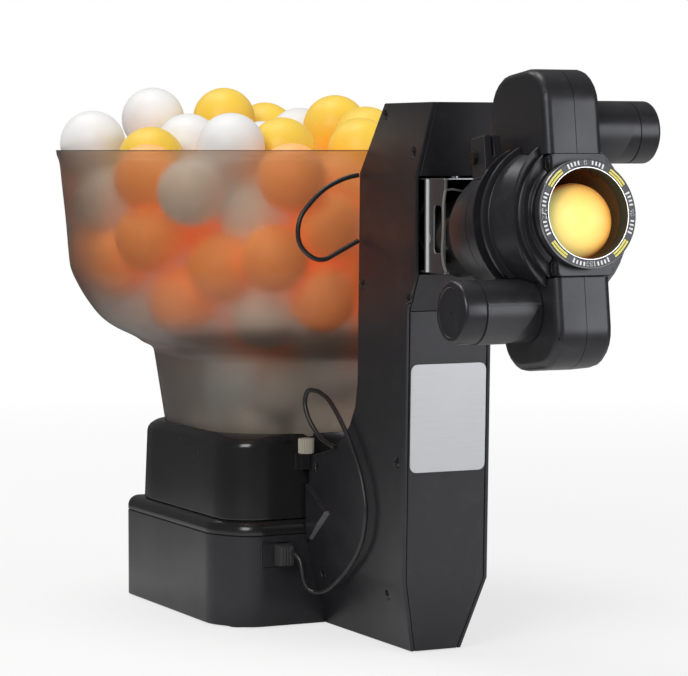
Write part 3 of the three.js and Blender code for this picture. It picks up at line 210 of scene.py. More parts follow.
def tube(route, radius, sides):
    """A round section carried along a route in metres, closed at both ends. Each ring stands square to
    the route, and its start direction is passed on from ring to ring."""
    route = np.asarray(route, float)
    way = np.gradient(route, axis=0)
    way /= np.linalg.norm(way, axis=1)[:, None]
    side = np.zeros_like(way)
    carry = np.cross(way[0], ROUTE_SIDE)
    for i, direction in enumerate(way):
        carry = carry - direction * (carry @ direction)
        carry = carry / np.linalg.norm(carry)
        side[i] = carry
    other = np.cross(way, side)
    t = np.linspace(0, 2 * math.pi, sides, endpoint=False)
    ring = side[:, None] * np.cos(t)[None, :, None] + other[:, None] * np.sin(t)[None, :, None]
    rows = [route[:1, None] + 0 * ring[:1], route[:, None] + ring * radius, route[-1:, None] + 0 * ring[:1]]
    points = np.concatenate(rows)
    return points, grid_faces(len(points), sides)


def smooth_route(points, step):
    """A route through given points: a cubic through each four neighbours, sampled about every step."""
    points = np.asarray(points, float)
    ends = np.concatenate([[2 * points[0] - points[1]], points, [2 * points[-1] - points[-2]]])
    pieces = []
    for i in range(len(points) - 1):
        a, b, c, d = ends[i:i + 4]
        count = max(2, round(np.linalg.norm(c - b) / step))
        t = np.linspace(0, 1, count, endpoint=False)[:, None]
        pieces.append(0.5 * (2 * b + (c - a) * t + (2 * a - 5 * b + 4 * c - d) * t**2
                             + (3 * b - a - 3 * c + d) * t**3))
    return np.concatenate(pieces + [points[-1:]])


# Shader nodes


def put(tree, kind, inputs=None, **settings):
    """A node with its settings, and each input set to a value or linked to a socket."""
    made = tree.nodes.new(kind)
    for name, value in settings.items():
        setattr(made, name, value)
    for key, value in (inputs or {}).items():
        if isinstance(value, bpy.types.NodeSocket):
            tree.links.new(value, made.inputs[key])
        else:
            made.inputs[key].default_value = value
    return made


MIX_FACTOR, MIX_A, MIX_B, MIX_OUT = 0, 6, 7, 2


def blended(tree, factor, one, other):
    """The colour between two colours, by a factor."""
    made = put(tree, "ShaderNodeMix", data_type="RGBA")
    for index, value in ((MIX_FACTOR, factor), (MIX_A, one), (MIX_B, other)):
        if isinstance(value, bpy.types.NodeSocket):
            tree.links.new(value, made.inputs[index])
        else:
            made.inputs[index].default_value = value
    return made.outputs[MIX_OUT]


def spread(tree, value, low, high, to_low, to_high):
    """A value's range mapped to another range and held inside it."""
    inputs = {"Value": value, "From Min": low, "From Max": high, "To Min": to_low, "To Max": to_high}
    return put(tree, "ShaderNodeMapRange", inputs).outputs["Result"]


def calculated(tree, operation, one, other=0.0):
    """A value worked out from one or two values."""
    return put(tree, "ShaderNodeMath", {0: one, 1: other}, operation=operation).outputs[0]


def product(tree, one, other):
    """One value times another."""
    return calculated(tree, "MULTIPLY", one, other)


def total(tree, one, other):
    """One value and another together."""
    return calculated(tree, "ADD", one, other)


def object_place(tree):
    """The surface point in the piece's own coordinates."""
    return put(tree, "ShaderNodeTexCoord").outputs["Object"]


def axis_of(tree, vector, axis):
    """One coordinate of a vector."""
    return put(tree, "ShaderNodeSeparateXYZ", {0: vector}).outputs[axis]


def surface_normal(tree):
    """The way that the surface faces."""
    return put(tree, "ShaderNodeNewGeometry").outputs["Normal"]


def edge_on(tree):
    """Nothing where a surface is seen square on, growing to one where it is seen edge on."""
    return put(tree, "ShaderNodeLayerWeight", {"Blend": 0.5}).outputs["Facing"]


def noise(tree, where, scale, detail, **shape):
    """Cloudy noise of so many clouds a metre, with its roughness and distortion where they are given."""
    inputs = {"Vector": where, "Scale": scale, "Detail": detail, **shape}
    return put(tree, "ShaderNodeTexNoise", inputs).outputs["Fac"]


def node_of(tree, kind):
    """The first node of a kind."""
    return next(n for n in tree.nodes if n.type == kind)


def new_group(name, inputs, outputs):
    """An empty node group with named inputs (name, kind, default) and outputs (name, kind)."""
    group = bpy.data.node_groups.new(name, "ShaderNodeTree")
    for socket, kind, default in inputs:
        made = group.interface.new_socket(socket, in_out="INPUT", socket_type=kind)
        made.default_value = default
    for socket, kind in outputs:
        group.interface.new_socket(socket, in_out="OUTPUT", socket_type=kind)
    enter = group.nodes.new("NodeGroupInput")
    leave = group.nodes.new("NodeGroupOutput")
    return group, enter.outputs, leave.inputs


# Shared effects: clouds a metre, the part of each noise that counts, and how far it changes the surface

VALUE, COLOUR = "NodeSocketFloat", "NodeSocketColor"
SWELL_SCALE, SMEAR_SCALE, SPECK_SCALE, STREAK_SCALE, CLOUD_SCALE = 22.0, 60.0, 900.0, 2200.0, 45.0
BROAD, STREAKS, SMEARS, SPECKS, UPWARD = (0.3, 0.7), (0.35, 0.65), (0.52, 0.78), (0.45, 0.75), (0.55, 1.0)
SWELL_ROUGH, STREAK_ROUGH, RUB_ROUGH, DUST_ROUGH = (-0.05, 0.05), (-0.06, 0.1), 0.12, 0.5
SPECK_SHARE, CLOUD_SHARE, SWELL_HEIGHT = (0.25, 1.0), (0.35, 0.9), 3.0
DUST_COLOUR = (0.32, 0.31, 0.3, 1)


def moulded_surface_group():
    """Moulded plastic: a fine spark-eroded grain, slow swells from cooling, faint rubbed patches and a
    little dust on faces that look up."""
    group, given, out = new_group(
        "moulded surface",
        [("Colour", COLOUR, (0.03, 0.03, 0.03, 1)), ("Rubbed colour", COLOUR, (0.06, 0.06, 0.06, 1)),
         ("Roughness", VALUE, 0.4), ("Grain size", VALUE, 0.0006), ("Rub", VALUE, 0.3),
         ("Dust", VALUE, 0.1)],
        [("Colour", COLOUR), ("Roughness", VALUE), ("Height", VALUE)],
    )
    where = object_place(group)
    grain = noise(group, where, calculated(group, "DIVIDE", 1.0, given["Grain size"]), 2.0)
    swell = noise(group, where, SWELL_SCALE, 3.0)
    smear = noise(group, where, SMEAR_SCALE, 6.0, Roughness=0.7, Distortion=1.2)
    speck = noise(group, where, SPECK_SCALE, 3.0)
    rubbed = product(group, spread(group, smear, *SMEARS, 0.0, 1.0), given["Rub"])
    upward = spread(group, axis_of(group, surface_normal(group), "Z"), *UPWARD, 0.0, 1.0)
    settled = product(group, upward, spread(group, speck, *SPECKS, *SPECK_SHARE))
    dusty = product(group, settled, given["Dust"])
    colour = blended(group, rubbed, given["Colour"], given["Rubbed colour"])
    rough = total(group, given["Roughness"], spread(group, swell, *BROAD, *SWELL_ROUGH))
    rough = total(group, rough, product(group, rubbed, RUB_ROUGH))
    group.links.new(blended(group, dusty, colour, DUST_COLOUR), out["Colour"])
    group.links.new(total(group, rough, product(group, dusty, DUST_ROUGH)), out["Roughness"])
    group.links.new(total(group, grain, product(group, swell, SWELL_HEIGHT)), out["Height"])
    return group


def drawn_metal_group():
    """Brushed or rolled metal: fine streaks along one direction, in short strokes, and clouding."""
    group, given, out = new_group(
        "drawn metal",
        [("Colour", COLOUR, (0.6, 0.6, 0.6, 1)), ("Shade colour", COLOUR, (0.4, 0.4, 0.4, 1)),
         ("Roughness", VALUE, 0.3), ("Across", VALUE, 1.0), ("Along", VALUE, 0.05), ("Upward", VALUE, 1.0)],
        [("Colour", COLOUR), ("Roughness", VALUE), ("Height", VALUE)],
    )
    where = object_place(group)
    pull = {0: given["Across"], 1: given["Along"], 2: given["Upward"]}
    pull = put(group, "ShaderNodeCombineXYZ", pull).outputs[0]
    pulled = put(group, "ShaderNodeVectorMath", {0: where, 1: pull}, operation="MULTIPLY").outputs[0]
    streak = noise(group, pulled, STREAK_SCALE, 4.0, Roughness=0.65)
    cloud = spread(group, noise(group, where, CLOUD_SCALE, 4.0), *BROAD, *CLOUD_SHARE)
    shade = product(group, spread(group, streak, *STREAKS, 0.0, 1.0), cloud)
    rough = total(group, given["Roughness"], spread(group, streak, *BROAD, *STREAK_ROUGH))
    group.links.new(blended(group, shade, given["Colour"], given["Shade colour"]), out["Colour"])
    group.links.new(rough, out["Roughness"])
    group.links.new(streak, out["Height"])
    return group


def group_named(name, builder):
    """A shared node group, built the first time that a material asks for it."""
    return bpy.data.node_groups.get(name) or builder()


def new_material(name, shader_inputs, group=None, group_inputs=None, bump=0.0, distance=0.0002):
    """A Principled material whose colour, roughness and fine relief come from a shared group."""
    found = bpy.data.materials.get(name)
    if found:
        return found
    material = bpy.data.materials.new(name)
    material.use_nodes = True
    tree = material.node_tree
    tree.nodes.clear()
    shader = put(tree, "ShaderNodeBsdfPrincipled", shader_inputs)
    if group:
        effect = tree.nodes.new("ShaderNodeGroup")
        effect.node_tree = group
        for key, value in (group_inputs or {}).items():
            effect.inputs[key].default_value = value
        tree.links.new(effect.outputs["Colour"], shader.inputs["Base Color"])
        tree.links.new(effect.outputs["Roughness"], shader.inputs["Roughness"])
        relief = put(tree, "ShaderNodeBump",
                     {"Height": effect.outputs["Height"], "Strength": bump, "Distance": distance})
        tree.links.new(relief.outputs["Normal"], shader.inputs["Normal"])
    end = tree.nodes.new("ShaderNodeOutputMaterial")
    tree.links.new(shader.outputs[0], end.inputs["Surface"])
    return material


def paler(colour, share):
    """A colour moved towards white by a share."""
    return tuple(c + (1 - c) * share for c in colour[:3]) + (1,)


def darker(colour, share):
    """A colour moved towards black by a share."""
    return tuple(c * (1 - share) for c in colour[:3]) + (1,)


def plastic(name, colour, roughness, grain=0.0006, rub=0.25, dust=0.12, bump=0.12, coat=0.0, level=0.5):
    """Moulded plastic of one colour."""
    return new_material(
        name, {"Coat Weight": coat, "Coat Roughness": 0.2, "Specular IOR Level": level, "IOR": 1.5},
        group_named("moulded surface", moulded_surface_group),
        {"Colour": (*colour[:3], 1), "Rubbed colour": paler(colour, 0.05), "Roughness": roughness,
         "Grain size": grain, "Rub": rub, "Dust": dust}, bump,
    )


def metal(name, colour, roughness, across=1.0, along=0.04, upward=1.0, bump=0.1, contrast=0.25, pure=1.0):
    """Metal with a drawn or brushed surface, bare or, where it is less than pure, lacquered or printed."""
    return new_material(
        name, {"Metallic": pure}, group_named("drawn metal", drawn_metal_group),
        {"Colour": (*colour[:3], 1), "Shade colour": darker(colour, contrast), "Roughness": roughness,
         "Across": across, "Along": along, "Upward": upward}, bump,
    )


# Finishes that several operators share


def shell_finish():
    """Black moulded plastic of the covers."""
    colours, _, _ = settings()
    return plastic("black shell", colours.shell, colours.shell_roughness, grain=0.0005)


def feeder_finish():
    """Glossier black plastic of the feeder."""
    colours, _, _ = settings()
    return plastic("black feeder shell", colours.lid, 0.24, grain=0.0008, bump=0.05, rub=0.02, coat=0.3)


def rubber_finish():
    """Black rubber of the feet and the lead's boot."""
    return plastic("rubber", (0.012, 0.012, 0.012), 0.75, grain=0.0004, bump=0.4, rub=0.4, dust=0.3)


def screw_finish():
    """Blackened steel."""
    return metal("blackened screw", (0.09, 0.085, 0.08), 0.4)


# Settings that a user would change


def length(title, text, default):
    """A length in metres."""
    return FloatProperty(name=title, description=text, default=default, min=0, unit="LENGTH", precision=5)


def fraction(title, text, default):
    """A part from nothing to the whole."""
    return FloatProperty(name=title, description=text, default=default, min=0, max=1, subtype="FACTOR")


def tint(title, text, default):
    """A linear colour."""
    return FloatVectorProperty(name=title, description=text, default=default, size=3, min=0, max=1,
                               subtype="COLOR")


def watts(title, text, default):
    """A lamp's power."""
    return FloatProperty(name=title, description=text, default=default, min=0, unit="POWER")


class RobotColours(bpy.types.PropertyGroup):
    """Colours and gloss of the finishes."""

    shell: tint("Shell", "Black plastic of the covers", (0.0145, 0.0138, 0.016))
    shell_roughness: fraction("Shell roughness", "Gloss of the covers, from polished to matt", 0.35)
    lid: tint("Feeder", "Glossier black plastic of the base and feeder", (0.0105, 0.01, 0.0105))
    pan: tint("Base pan", "Satin black plastic of the base's pan", (0.0165, 0.0162, 0.019))
    smoke: tint("Hopper", "Tint of the see-through hopper", (0.56, 0.46, 0.385))
    neck: tint("Hopper neck", "Tint of the thicker neck of the hopper", (0.39, 0.372, 0.35))
    smoke_roughness: fraction("Hopper frosting", "How much the hopper's wall blurs what is behind it", 0.34)
    ball_orange: tint("Orange ball", "Orange balls", (0.9, 0.6, 0.055))
    # Painted shade: the heap's orange, the mouth ball's orange and the heap's white are darker copies of
    # the balls' colours.
    heap_orange_shaded: tint("Orange ball in the heap", "Orange balls deep in the hopper", (0.92, 0.46, 0.13))
    mouth_orange_shaded: tint("Ball in the mouth", "The ball in the mouth", (0.93, 0.43, 0.035))
    ball_white: tint("White ball", "White balls", (0.81, 0.805, 0.79))
    ball_white_shaded: tint("White ball in the heap", "White balls deep in the hopper", (0.7, 0.69, 0.64))
    # Painted glow: the balls in the heap emit light, though they are no lamps.
    heap_painted_glow: fraction("Heap glow", "How much the orange balls in the heap glow", 0.3)
    nut: tint("Thumb nut", "Knurled nut on the collar", (0.36, 0.325, 0.26))
    silver: tint("Label plate", "Brushed plate on the tower", (0.5, 0.503, 0.51))
    zinc: tint("Yoke", "Plated sheet metal of the swivel yoke", (0.42, 0.43, 0.44))
    marks: tint("Dial bars", "Yellow bars on the dial", (0.72, 0.64, 0.12))


class RobotSizes(bpy.types.PropertyGroup):
    """Sizes of the fine pieces."""

    ball: length("Ball", "Diameter of a ball", 0.040)
    edge: length("Edge round", "How far the covers' edges are rounded", 0.0005)
    lead: length("Lead", "Diameter of the black leads", 0.0027)
    wire: length("Motor wire", "Diameter of the thin wire beside the yoke", 0.0017)
    hopper_wall: length("Hopper wall", "Thickness of the hopper", 0.0024)
    screw: length("Screw head", "Diameter of a cover screw's head", 0.0050)
    ball_count: IntProperty(name="Loose balls", description="Balls that fill the hopper below the rim",
                            default=112, min=0, max=160)


class RobotStage(bpy.types.PropertyGroup):
    """Camera, lamps and floor."""

    lens: length("Lens", "Focal length for a 36 mm sensor, as a length", 0.14913)
    world: fraction("World light", "Brightness of the even light from all round", 0.4)
    gloss: fraction("World in gloss", "Brightness of the surroundings that glossy surfaces show", 0.12)
    key: watts("Key lamp", "Power of the lamp at front left", 24.0)
    fill: watts("Fill lamp", "Power of the lamp at front right", 15.5)
    top: watts("Top lamp", "Power of the lamp overhead", 10.5)
    rear: watts("Rear lamp", "Power of the lamp above and behind", 3.0)
    floor: tint("Floor", "Colour of the floor", (0.9, 0.9, 0.9))
    seamless: BoolProperty(name="Seamless", description="Let the floor run into the white background",
                           default=True)


def settings():
    """The three groups of settings."""
    scene = bpy.context.scene
    return scene.robot_colours, scene.robot_sizes, scene.robot_stage


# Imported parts: rounded edges and finishes

JOIN_GAP, FLAT_ANGLE, SPLIT_ANGLE = 0.005 * MM, math.radians(0.6), math.radians(44)
EDGE_ANGLE, EDGE_STEPS, LARGE_FACES = 32, 2, 80


def modify(piece, name, kind, **settings):
    """Adds a modifier with its settings."""
    made = piece.modifiers.new(name, kind)
    for key, value in settings.items():
        setattr(made, key, value)


def soften(piece, width, limit, run_flat):
    """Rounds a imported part's edges past an angle, with modifiers only: its triangles are joined, flat
    areas run together where the part has no long thin ones, the edges rounded, and the shading follows
    the larger faces."""
    modify(piece, "join", "WELD", merge_threshold=JOIN_GAP)
    if run_flat:
        modify(piece, "flat", "DECIMATE", decimate_type="DISSOLVE", angle_limit=FLAT_ANGLE)
    if width > 0:
        modify(piece, "edge", "BEVEL", width=width, segments=EDGE_STEPS, limit_method="ANGLE",
               angle_limit=math.radians(limit), use_clamp_overlap=False, miter_outer="MITER_SHARP")
    modify(piece, "split", "EDGE_SPLIT", split_angle=SPLIT_ANGLE)
    modify(piece, "shade", "WEIGHTED_NORMAL", weight=LARGE_FACES)


def dress(names, material, width=0.0, limit=EDGE_ANGLE, run_flat=True):
    """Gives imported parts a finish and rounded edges."""
    for name in names:
        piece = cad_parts[name]
        faces = piece.data.polygons
        piece.data.materials.clear()
        piece.data.materials.append(material)
        faces.foreach_set("material_index", np.zeros(len(faces), np.int32))
        soften(piece, width, limit, run_flat)
        faces.foreach_set("use_smooth", np.ones(len(faces), bool))


SIDE_COVERS = ["side_cover_left", "side_cover_right"]
TOWER_SHELLS = ["hood_panel", "tower_spine", "lower_front_cover", "window_sill"]
HOUSINGS = ["upper_housing_left", "upper_housing_right", "lower_housing_left", "lower_housing_right"]
HEAD_SHELLS = ["barrel", "mouth_block_upper", "mouth_block_lower", "rear_shroud"]
TUBES = ["feed_duct", "riser_tube", "outlet_elbow", "tilt_sleeve", "feed_floor"]
FEET = ["foot_front_left", "foot_front_right", "foot_rear_left", "foot_rear_right"]


class ROBOT_OT_shells(bpy.types.Operator):
    """Finishes the black moulded covers of base, tower and head"""

    bl_idname = "robot.shells"
    bl_label = "Moulded shells"

    def execute(self, context):
        colours, sizes, _ = settings()
        shell, gloss = shell_finish(), feeder_finish()
        inner = plastic("black tube", colours.lid, 0.3, grain=0.001, bump=0.06, dust=0.0)
        dress(SIDE_COVERS, shell, sizes.edge, run_flat=False)
        dress(TOWER_SHELLS, shell, sizes.edge)
        dress(HEAD_SHELLS, shell, sizes.edge)
        dress(HOUSINGS, shell)
        dress(["feeder_collar"], gloss, sizes.edge * 1.2)
        dress(TUBES, inner)
        return {"FINISHED"}


# Workings: the yoke's bright edges, whose paler zinc is a painted highlight, and how far painted shade
# darkens its side faces

FLANGE_ACROSS, FLANGE_FORWARD, FLANGE_LOW, FLANGE_HIGH, FLANGE_RADIUS = 22.8, 222.1, 216.3, 267.1, 1.25
FLANGE_STEPS, FLANGE_SIDES = 8, 24
SIDEWAYS, PAINTED_SHADE_SHARE, PAINTED_SHADE_DEPTH = (0.8, 0.95), 0.86, 0.9


def yoke_material(colours):
    """Plated sheet: painted shade darkens its broad side faces almost to black, while its sheared edges and
    the plates above and below stay bright. The shaded part is where the surface faces sideways."""
    material = metal("yoke zinc with painted shade", colours.zinc, 0.3, across=0.3, along=1.0, contrast=0.12, pure=0.7)
    tree = material.node_tree
    sideways = calculated(tree, "ABSOLUTE", axis_of(tree, surface_normal(tree), "X"))
    # Painted shade: where the surface faces sideways, the zinc is darkened almost to black.
    painted_shade = spread(tree, sideways, *SIDEWAYS, 0.0, PAINTED_SHADE_SHARE)
    bright = node_of(tree, "GROUP").outputs["Colour"]
    colour = blended(tree, painted_shade, bright, darker(colours.zinc, PAINTED_SHADE_DEPTH))
    tree.links.new(colour, node_of(tree, "BSDF_PRINCIPLED").inputs["Base Color"])
    return material


def yoke_flanges(colours):
    """The rolled front edges of the yoke's arms, left and right, in paler zinc that is a painted highlight.
    """
    # The paler zinc of the rolled edges is a painted highlight.
    bright = metal("zinc with painted highlight", paler(colours.zinc, 0.6), 0.35, contrast=0.1, pure=0.5)
    heights = np.linspace(FLANGE_LOW, FLANGE_HIGH, FLANGE_STEPS)
    for side, name in SIDES:
        route = machine_points(side * FLANGE_ACROSS, FLANGE_FORWARD, heights)
        rod = tube(route, FLANGE_RADIUS * MM, FLANGE_SIDES)
        stand_in(new_piece(f"yoke_flange_{name}", [rod], bright, "yoke", sharp=50), None)


class ROBOT_OT_workings(bpy.types.Operator):
    """Finishes the drives, gears, board, wheels, feet and metal parts"""

    bl_idname = "robot.workings"
    bl_label = "Workings"

    def execute(self, context):
        colours, sizes, _ = settings()
        edge = sizes.edge
        sponge = plastic("tyre rubber", (0.02, 0.019, 0.018), 0.85, 0.0012, bump=0.5, rub=0.5, dust=0.0)
        can = metal("motor can", (0.45, 0.45, 0.46), 0.38, along=1.0, upward=0.05)
        steel = metal("pin steel", (0.52, 0.52, 0.53), 0.25, across=0.06, along=1.0)
        plate = metal("label silver", colours.silver, 0.34, across=0.03, bump=0.04, contrast=0.08,
                      pure=0.45)
        nylon = plastic("nylon", (0.68, 0.66, 0.6), 0.45, grain=0.0007, bump=0.1, dust=0.05)
        wheel = plastic("orange moulding", (0.55, 0.12, 0.02), 0.4, grain=0.0007)
        lacquer = plastic("board lacquer", (0.012, 0.1, 0.03), 0.3, grain=0.0015, bump=0.2, dust=0.1)
        dress(FEET, rubber_finish(), edge * 0.6)
        dress(["upper_tyre", "lower_tyre"], sponge)
        dress(["feed_motor", "swivel_motor", "upper_motor", "lower_motor"], can, edge * 0.8, 40)
        dress(["swivel_yoke", "bearing_plate"], yoke_material(colours), edge * 0.4)
        dress(["tilt_pin_left", "tilt_pin_right"], steel)
        dress(["roll_lock_screw"], screw_finish())
        dress(["label_plate"], plate, edge * 0.4)
        dress(["feed_gearbox", "swivel_gearbox", "sector_gear", "swivel_pinion"], nylon, edge * 0.3, 40)
        dress(["feed_wheel", "upper_wheel_hub", "lower_wheel_hub"], wheel, edge * 0.6, 40)
        dress(["control_board"], lacquer)
        yoke_flanges(colours)
        return {"FINISHED"}


# Base: corners of its outline as (x, forward, corner radius), the heights of its parts, the power jack,
# and the bevels under the gussets, whose pale grey is a painted highlight

BASE_HALF, BASE_FRONT, BASE_REAR, CHAMFER_ALONG, CHAMFER_ACROSS = 81.0, 77.0, 84.0, 24.0, 13.5
BASE_BOTTOM, BASE_SEAM, BASE_TOP, BASE_ROUND, BASE_FLOOR, LID_INSET = 0.8, 55.0, 64.0, 6.5, 3.8, 24.0
SIDE_ROUND, FRONT_ROUND, REAR_ROUND, LEAST_ROUND, EASE = 24.0, 20.0, 8.0, 0.3, 1.5
CORNER_STEPS, EDGE_ROUND_STEPS, BEVEL_STEPS = 11, 9, 9
BASE_CORNERS = [
    (BASE_HALF, -BASE_REAR, REAR_ROUND), (BASE_HALF, BASE_FRONT - CHAMFER_ALONG, SIDE_ROUND),
    (BASE_HALF - CHAMFER_ACROSS, BASE_FRONT, FRONT_ROUND),
    (CHAMFER_ACROSS - BASE_HALF, BASE_FRONT, FRONT_ROUND),
    (-BASE_HALF, BASE_FRONT - CHAMFER_ALONG, SIDE_ROUND), (-BASE_HALF, -BASE_REAR, REAR_ROUND),
]
LID_GAP, LID_EDGE, LID_IN, LID_THICK = 0.1, 0.5, 2.6, 2.6
LID_LOW = BASE_SEAM + LID_GAP
PAN_PROFILE = [
    (1.0, BASE_BOTTOM), (0.3, BASE_BOTTOM + 0.25), (0.0, BASE_BOTTOM + 0.9), (0.0, 20.0), (0.0, 38.0),
    (0.0, BASE_SEAM - 0.5), (0.3, BASE_SEAM - 0.15), (1.2, BASE_SEAM - 0.1), (2.6, BASE_SEAM - 0.1),
    (2.6, BASE_FLOOR),
]
JACK_ACROSS, JACK_HEIGHT, JACK_HALF, JACK_SOCKET, JACK_PIN, JACK_PROUD = 48.0, 29.5, 5.5, 3.1, 0.9, 0.8
JACK_EASE, JACK_MARGIN, JACK_CORNER, JACK_RIDGE, JACK_SIDES, PIN_SIDES = 0.2, 0.9, 0.8, 1.6, 48, 24
JACK_PLATE = [
    (JACK_SOCKET, -3.0), (JACK_HALF, -0.5), (JACK_HALF, JACK_PROUD - JACK_EASE),
    (JACK_HALF - JACK_EASE, JACK_PROUD), (JACK_SOCKET + JACK_EASE, JACK_PROUD),
    (JACK_SOCKET, JACK_PROUD - JACK_EASE),
]
JACK_PIN_PROFILE = [
    (0.0, -2.0), (JACK_PIN, -2.0), (JACK_PIN, JACK_PROUD - 0.5), (JACK_PIN - 0.3, JACK_PROUD - JACK_EASE),
    (0.0, JACK_PROUD - JACK_EASE),
]
GUSSET_LOW, GUSSET_TIP, GUSSET_OUT, COVER_FACE = (80.5, 52.8), (104.6, 71.2), 29.32, 26.7
BEVEL_SECTION = [(GUSSET_OUT, -0.2), (COVER_FACE, 1.7), (COVER_FACE, -0.4)]


def outline_ring(inwards):
    """The base's outline moved inwards: an arc at each corner whose middle lies on the corner's bisector,
    and one more point just past each end of the arc, which keeps the flats flat."""
    spots = np.array([(x, y) for x, y, _ in BASE_CORNERS])
    rounds = np.maximum(np.array([r for _, _, r in BASE_CORNERS]) - inwards, LEAST_ROUND)
    way = np.roll(spots, -1, axis=0) - spots
    way /= np.linalg.norm(way, axis=1)[:, None]
    normal = np.stack([way[:, 1], -way[:, 0]], 1)
    before, after = np.roll(normal, 1, axis=0), normal
    lean = (rounds + inwards) / (1 + (before * after).sum(1))
    middle = spots - (before + after) * lean[:, None]
    start = np.arctan2(before[:, 1], before[:, 0])
    turn = (np.arctan2(after[:, 1], after[:, 0]) - start) % (2 * math.pi)
    angle = start[:, None] + turn[:, None] * np.linspace(0, 1, CORNER_STEPS)
    arcs = middle[:, None] + rounds[:, None, None] * np.stack([np.cos(angle), np.sin(angle)], -1)
    lead_in = arcs[:, :1] - np.roll(way, 1, axis=0)[:, None] * EASE
    lead_out = arcs[:, -1:] + way[:, None] * EASE
    return np.concatenate([lead_in, arcs, lead_out], 1).reshape(-1, 2)


def base_rows(profile):
    """Rings of a base part: the outline moved in by each profile point's first value, at its height."""
    rows = []
    for inwards, height in profile:
        ring = outline_ring(inwards)
        rows.append(machine_points(ring[:, 0], ring[:, 1], height + 0 * ring[:, 0]))
    return np.stack(rows)


def lid_profile():
    """The lid's section: up the side, a quarter round, in over the top, and back underneath."""
    a = np.linspace(0, math.pi / 2, EDGE_ROUND_STEPS)
    arc = list(zip(BASE_ROUND * (1 - np.cos(a)), BASE_TOP - BASE_ROUND * (1 - np.sin(a))))
    under = BASE_TOP - LID_THICK
    edge = [(LID_IN, LID_LOW), (LID_EDGE, LID_LOW), (LID_GAP, BASE_SEAM + LID_EDGE)]
    return [*edge, *arc, (LID_INSET, BASE_TOP), (LID_INSET, under), (BASE_ROUND, under),
            (LID_IN, BASE_TOP - BASE_ROUND)]


def gusset_bevel(side):
    """The bevel under a gusset: a triangle of a section carried along the gusset's lower edge, from its
    outer edge down to the side cover, and closed at both ends."""
    low, tip = np.array(GUSSET_LOW), np.array(GUSSET_TIP)
    way = (tip - low) / np.linalg.norm(tip - low)
    outward = np.array([way[1], -way[0]])
    section = np.array(BEVEL_SECTION)
    line = low + (tip - low) * np.linspace(0, 1, BEVEL_STEPS)[:, None]
    spots = line[:, None] + section[None, :, 1:] * outward
    rows = capped(machine_points(side * section[None, :, 0], spots[..., 0], spots[..., 1]))
    return rows, grid_faces(len(rows), len(section))


def rear_face(a, b, out):
    """Points on the base's rear face round the power jack, and out from it."""
    return machine_points(JACK_ACROSS + a, -BASE_REAR - out, JACK_HEIGHT + b)


class ROBOT_OT_base(bpy.types.Operator):
    """Makes the base's pan and lid with their wide rounded corners, and the power jack"""

    bl_idname = "robot.base"
    bl_label = "Base"

    def execute(self, context):
        colours, _, _ = settings()
        satin = plastic("black base pan", colours.pan, 0.33, rub=0.1, bump=0.08)
        rows = capped(base_rows(PAN_PROFILE))
        grid = (rows, grid_faces(len(rows), rows.shape[1]))
        stand_in(new_piece("pan_shell", [grid], satin, "base", sharp=32), "base_pan")
        rows = base_rows(lid_profile())
        grid = (rows, grid_faces(len(rows), rows.shape[1], wrap_rows=True))
        stand_in(new_piece("lid_shell", [grid], feeder_finish(), "base", sharp=32), "base_lid")
        black = plastic("jack plastic", (0.01, 0.01, 0.01), 0.5, grain=0.0005)
        half = JACK_HALF + JACK_MARGIN
        grids = [close_profile(JACK_PLATE, rear_face, JACK_SIDES),
                 turned(JACK_PIN_PROFILE, rear_face, PIN_SIDES),
                 rounded_frame(rear_face, half, half, JACK_CORNER, JACK_RIDGE, JACK_PROUD)]
        stand_in(new_piece("jack_socket", grids, black, "base"), "power_jack")
        # The bevels' pale grey is a painted highlight along the gussets' lower edges.
        painted_highlight = plastic("bevel with painted highlight", (0.1, 0.1, 0.105), 0.2, coat=0.3, dust=0.0)
        for side, name in SIDES:
            bevel = new_piece(f"gusset_bevel_{name}", [gusset_bevel(side)], painted_highlight, "base", sharp=25)
            stand_in(bevel, None)
        return {"FINISHED"}


# Hopper: the outer profile from the rim down to the neck, as (radius, height), and its clouding: a band of
# painted shade above the neck between two heights in metres, and the edge that is seen through a longer way

LIP, RIM_EASE = 7.0, 0.5
BOWL_PROFILE = [
    (RIM_RADIUS, RIM_HEIGHT), (RIM_RADIUS - 0.4, RIM_HEIGHT - 3.5), (144.9, RIM_HEIGHT - LIP),
    (143.6, 262.0), (141.2, 240.0), (139.4, 215.0), (138.0, 208.5), (133.6, 199.5), (128.7, 191.3),
    (121.0, 181.0), (112.0, 174.3), (100.0, 169.0), (94.5, 165.0), (91.2, 161.0), (88.9, 156.5),
]
NECK_TOP, NECK_LOW, NECK_ROUND, BOWL_FLOOR = 156.5, 114.8, 45.0, 166.0
NECK_TOP_HALF, NECK_LOW_HALF = 77.4, 72.4
HOPPER_SIDES, NECK_RINGS, BOWL_ROUNDS = 176, 22, 3
PAINTED_BAND_LOW, PAINTED_BAND_HIGH, PAINTED_BAND_SHARE, NECK_FADE, NECK_ROUGH = (0.156, 0.163), (0.168, 0.182), 0.88, 8.0, 0.2
EDGE_SEEN, EDGE_SHARE, DEEP_SMOKE_AND_SHADE = (0.35, 0.85), 0.7, (0.165, 0.105, 0.078, 1)


def neck_half(height):
    """Half the neck's width, which grows evenly with height."""
    return NECK_LOW_HALF + (height - NECK_LOW) * (NECK_TOP_HALF - NECK_LOW_HALF) / (NECK_TOP - NECK_LOW)


def rounded_square(angle, half, round_by):
    """Distance from the middle of a rounded square to its edge: the flat side where the direction meets
    it, else the far crossing with the corner's circle."""
    c, s = np.abs(np.cos(angle)), np.abs(np.sin(angle))
    flat = half / np.maximum(c, s)
    core = half - round_by
    middle = core * (c + s)
    corner = middle + np.sqrt(np.maximum(0, middle**2 - 2 * core**2 + round_by**2))
    return np.where(flat * np.minimum(c, s) <= core, flat, corner)


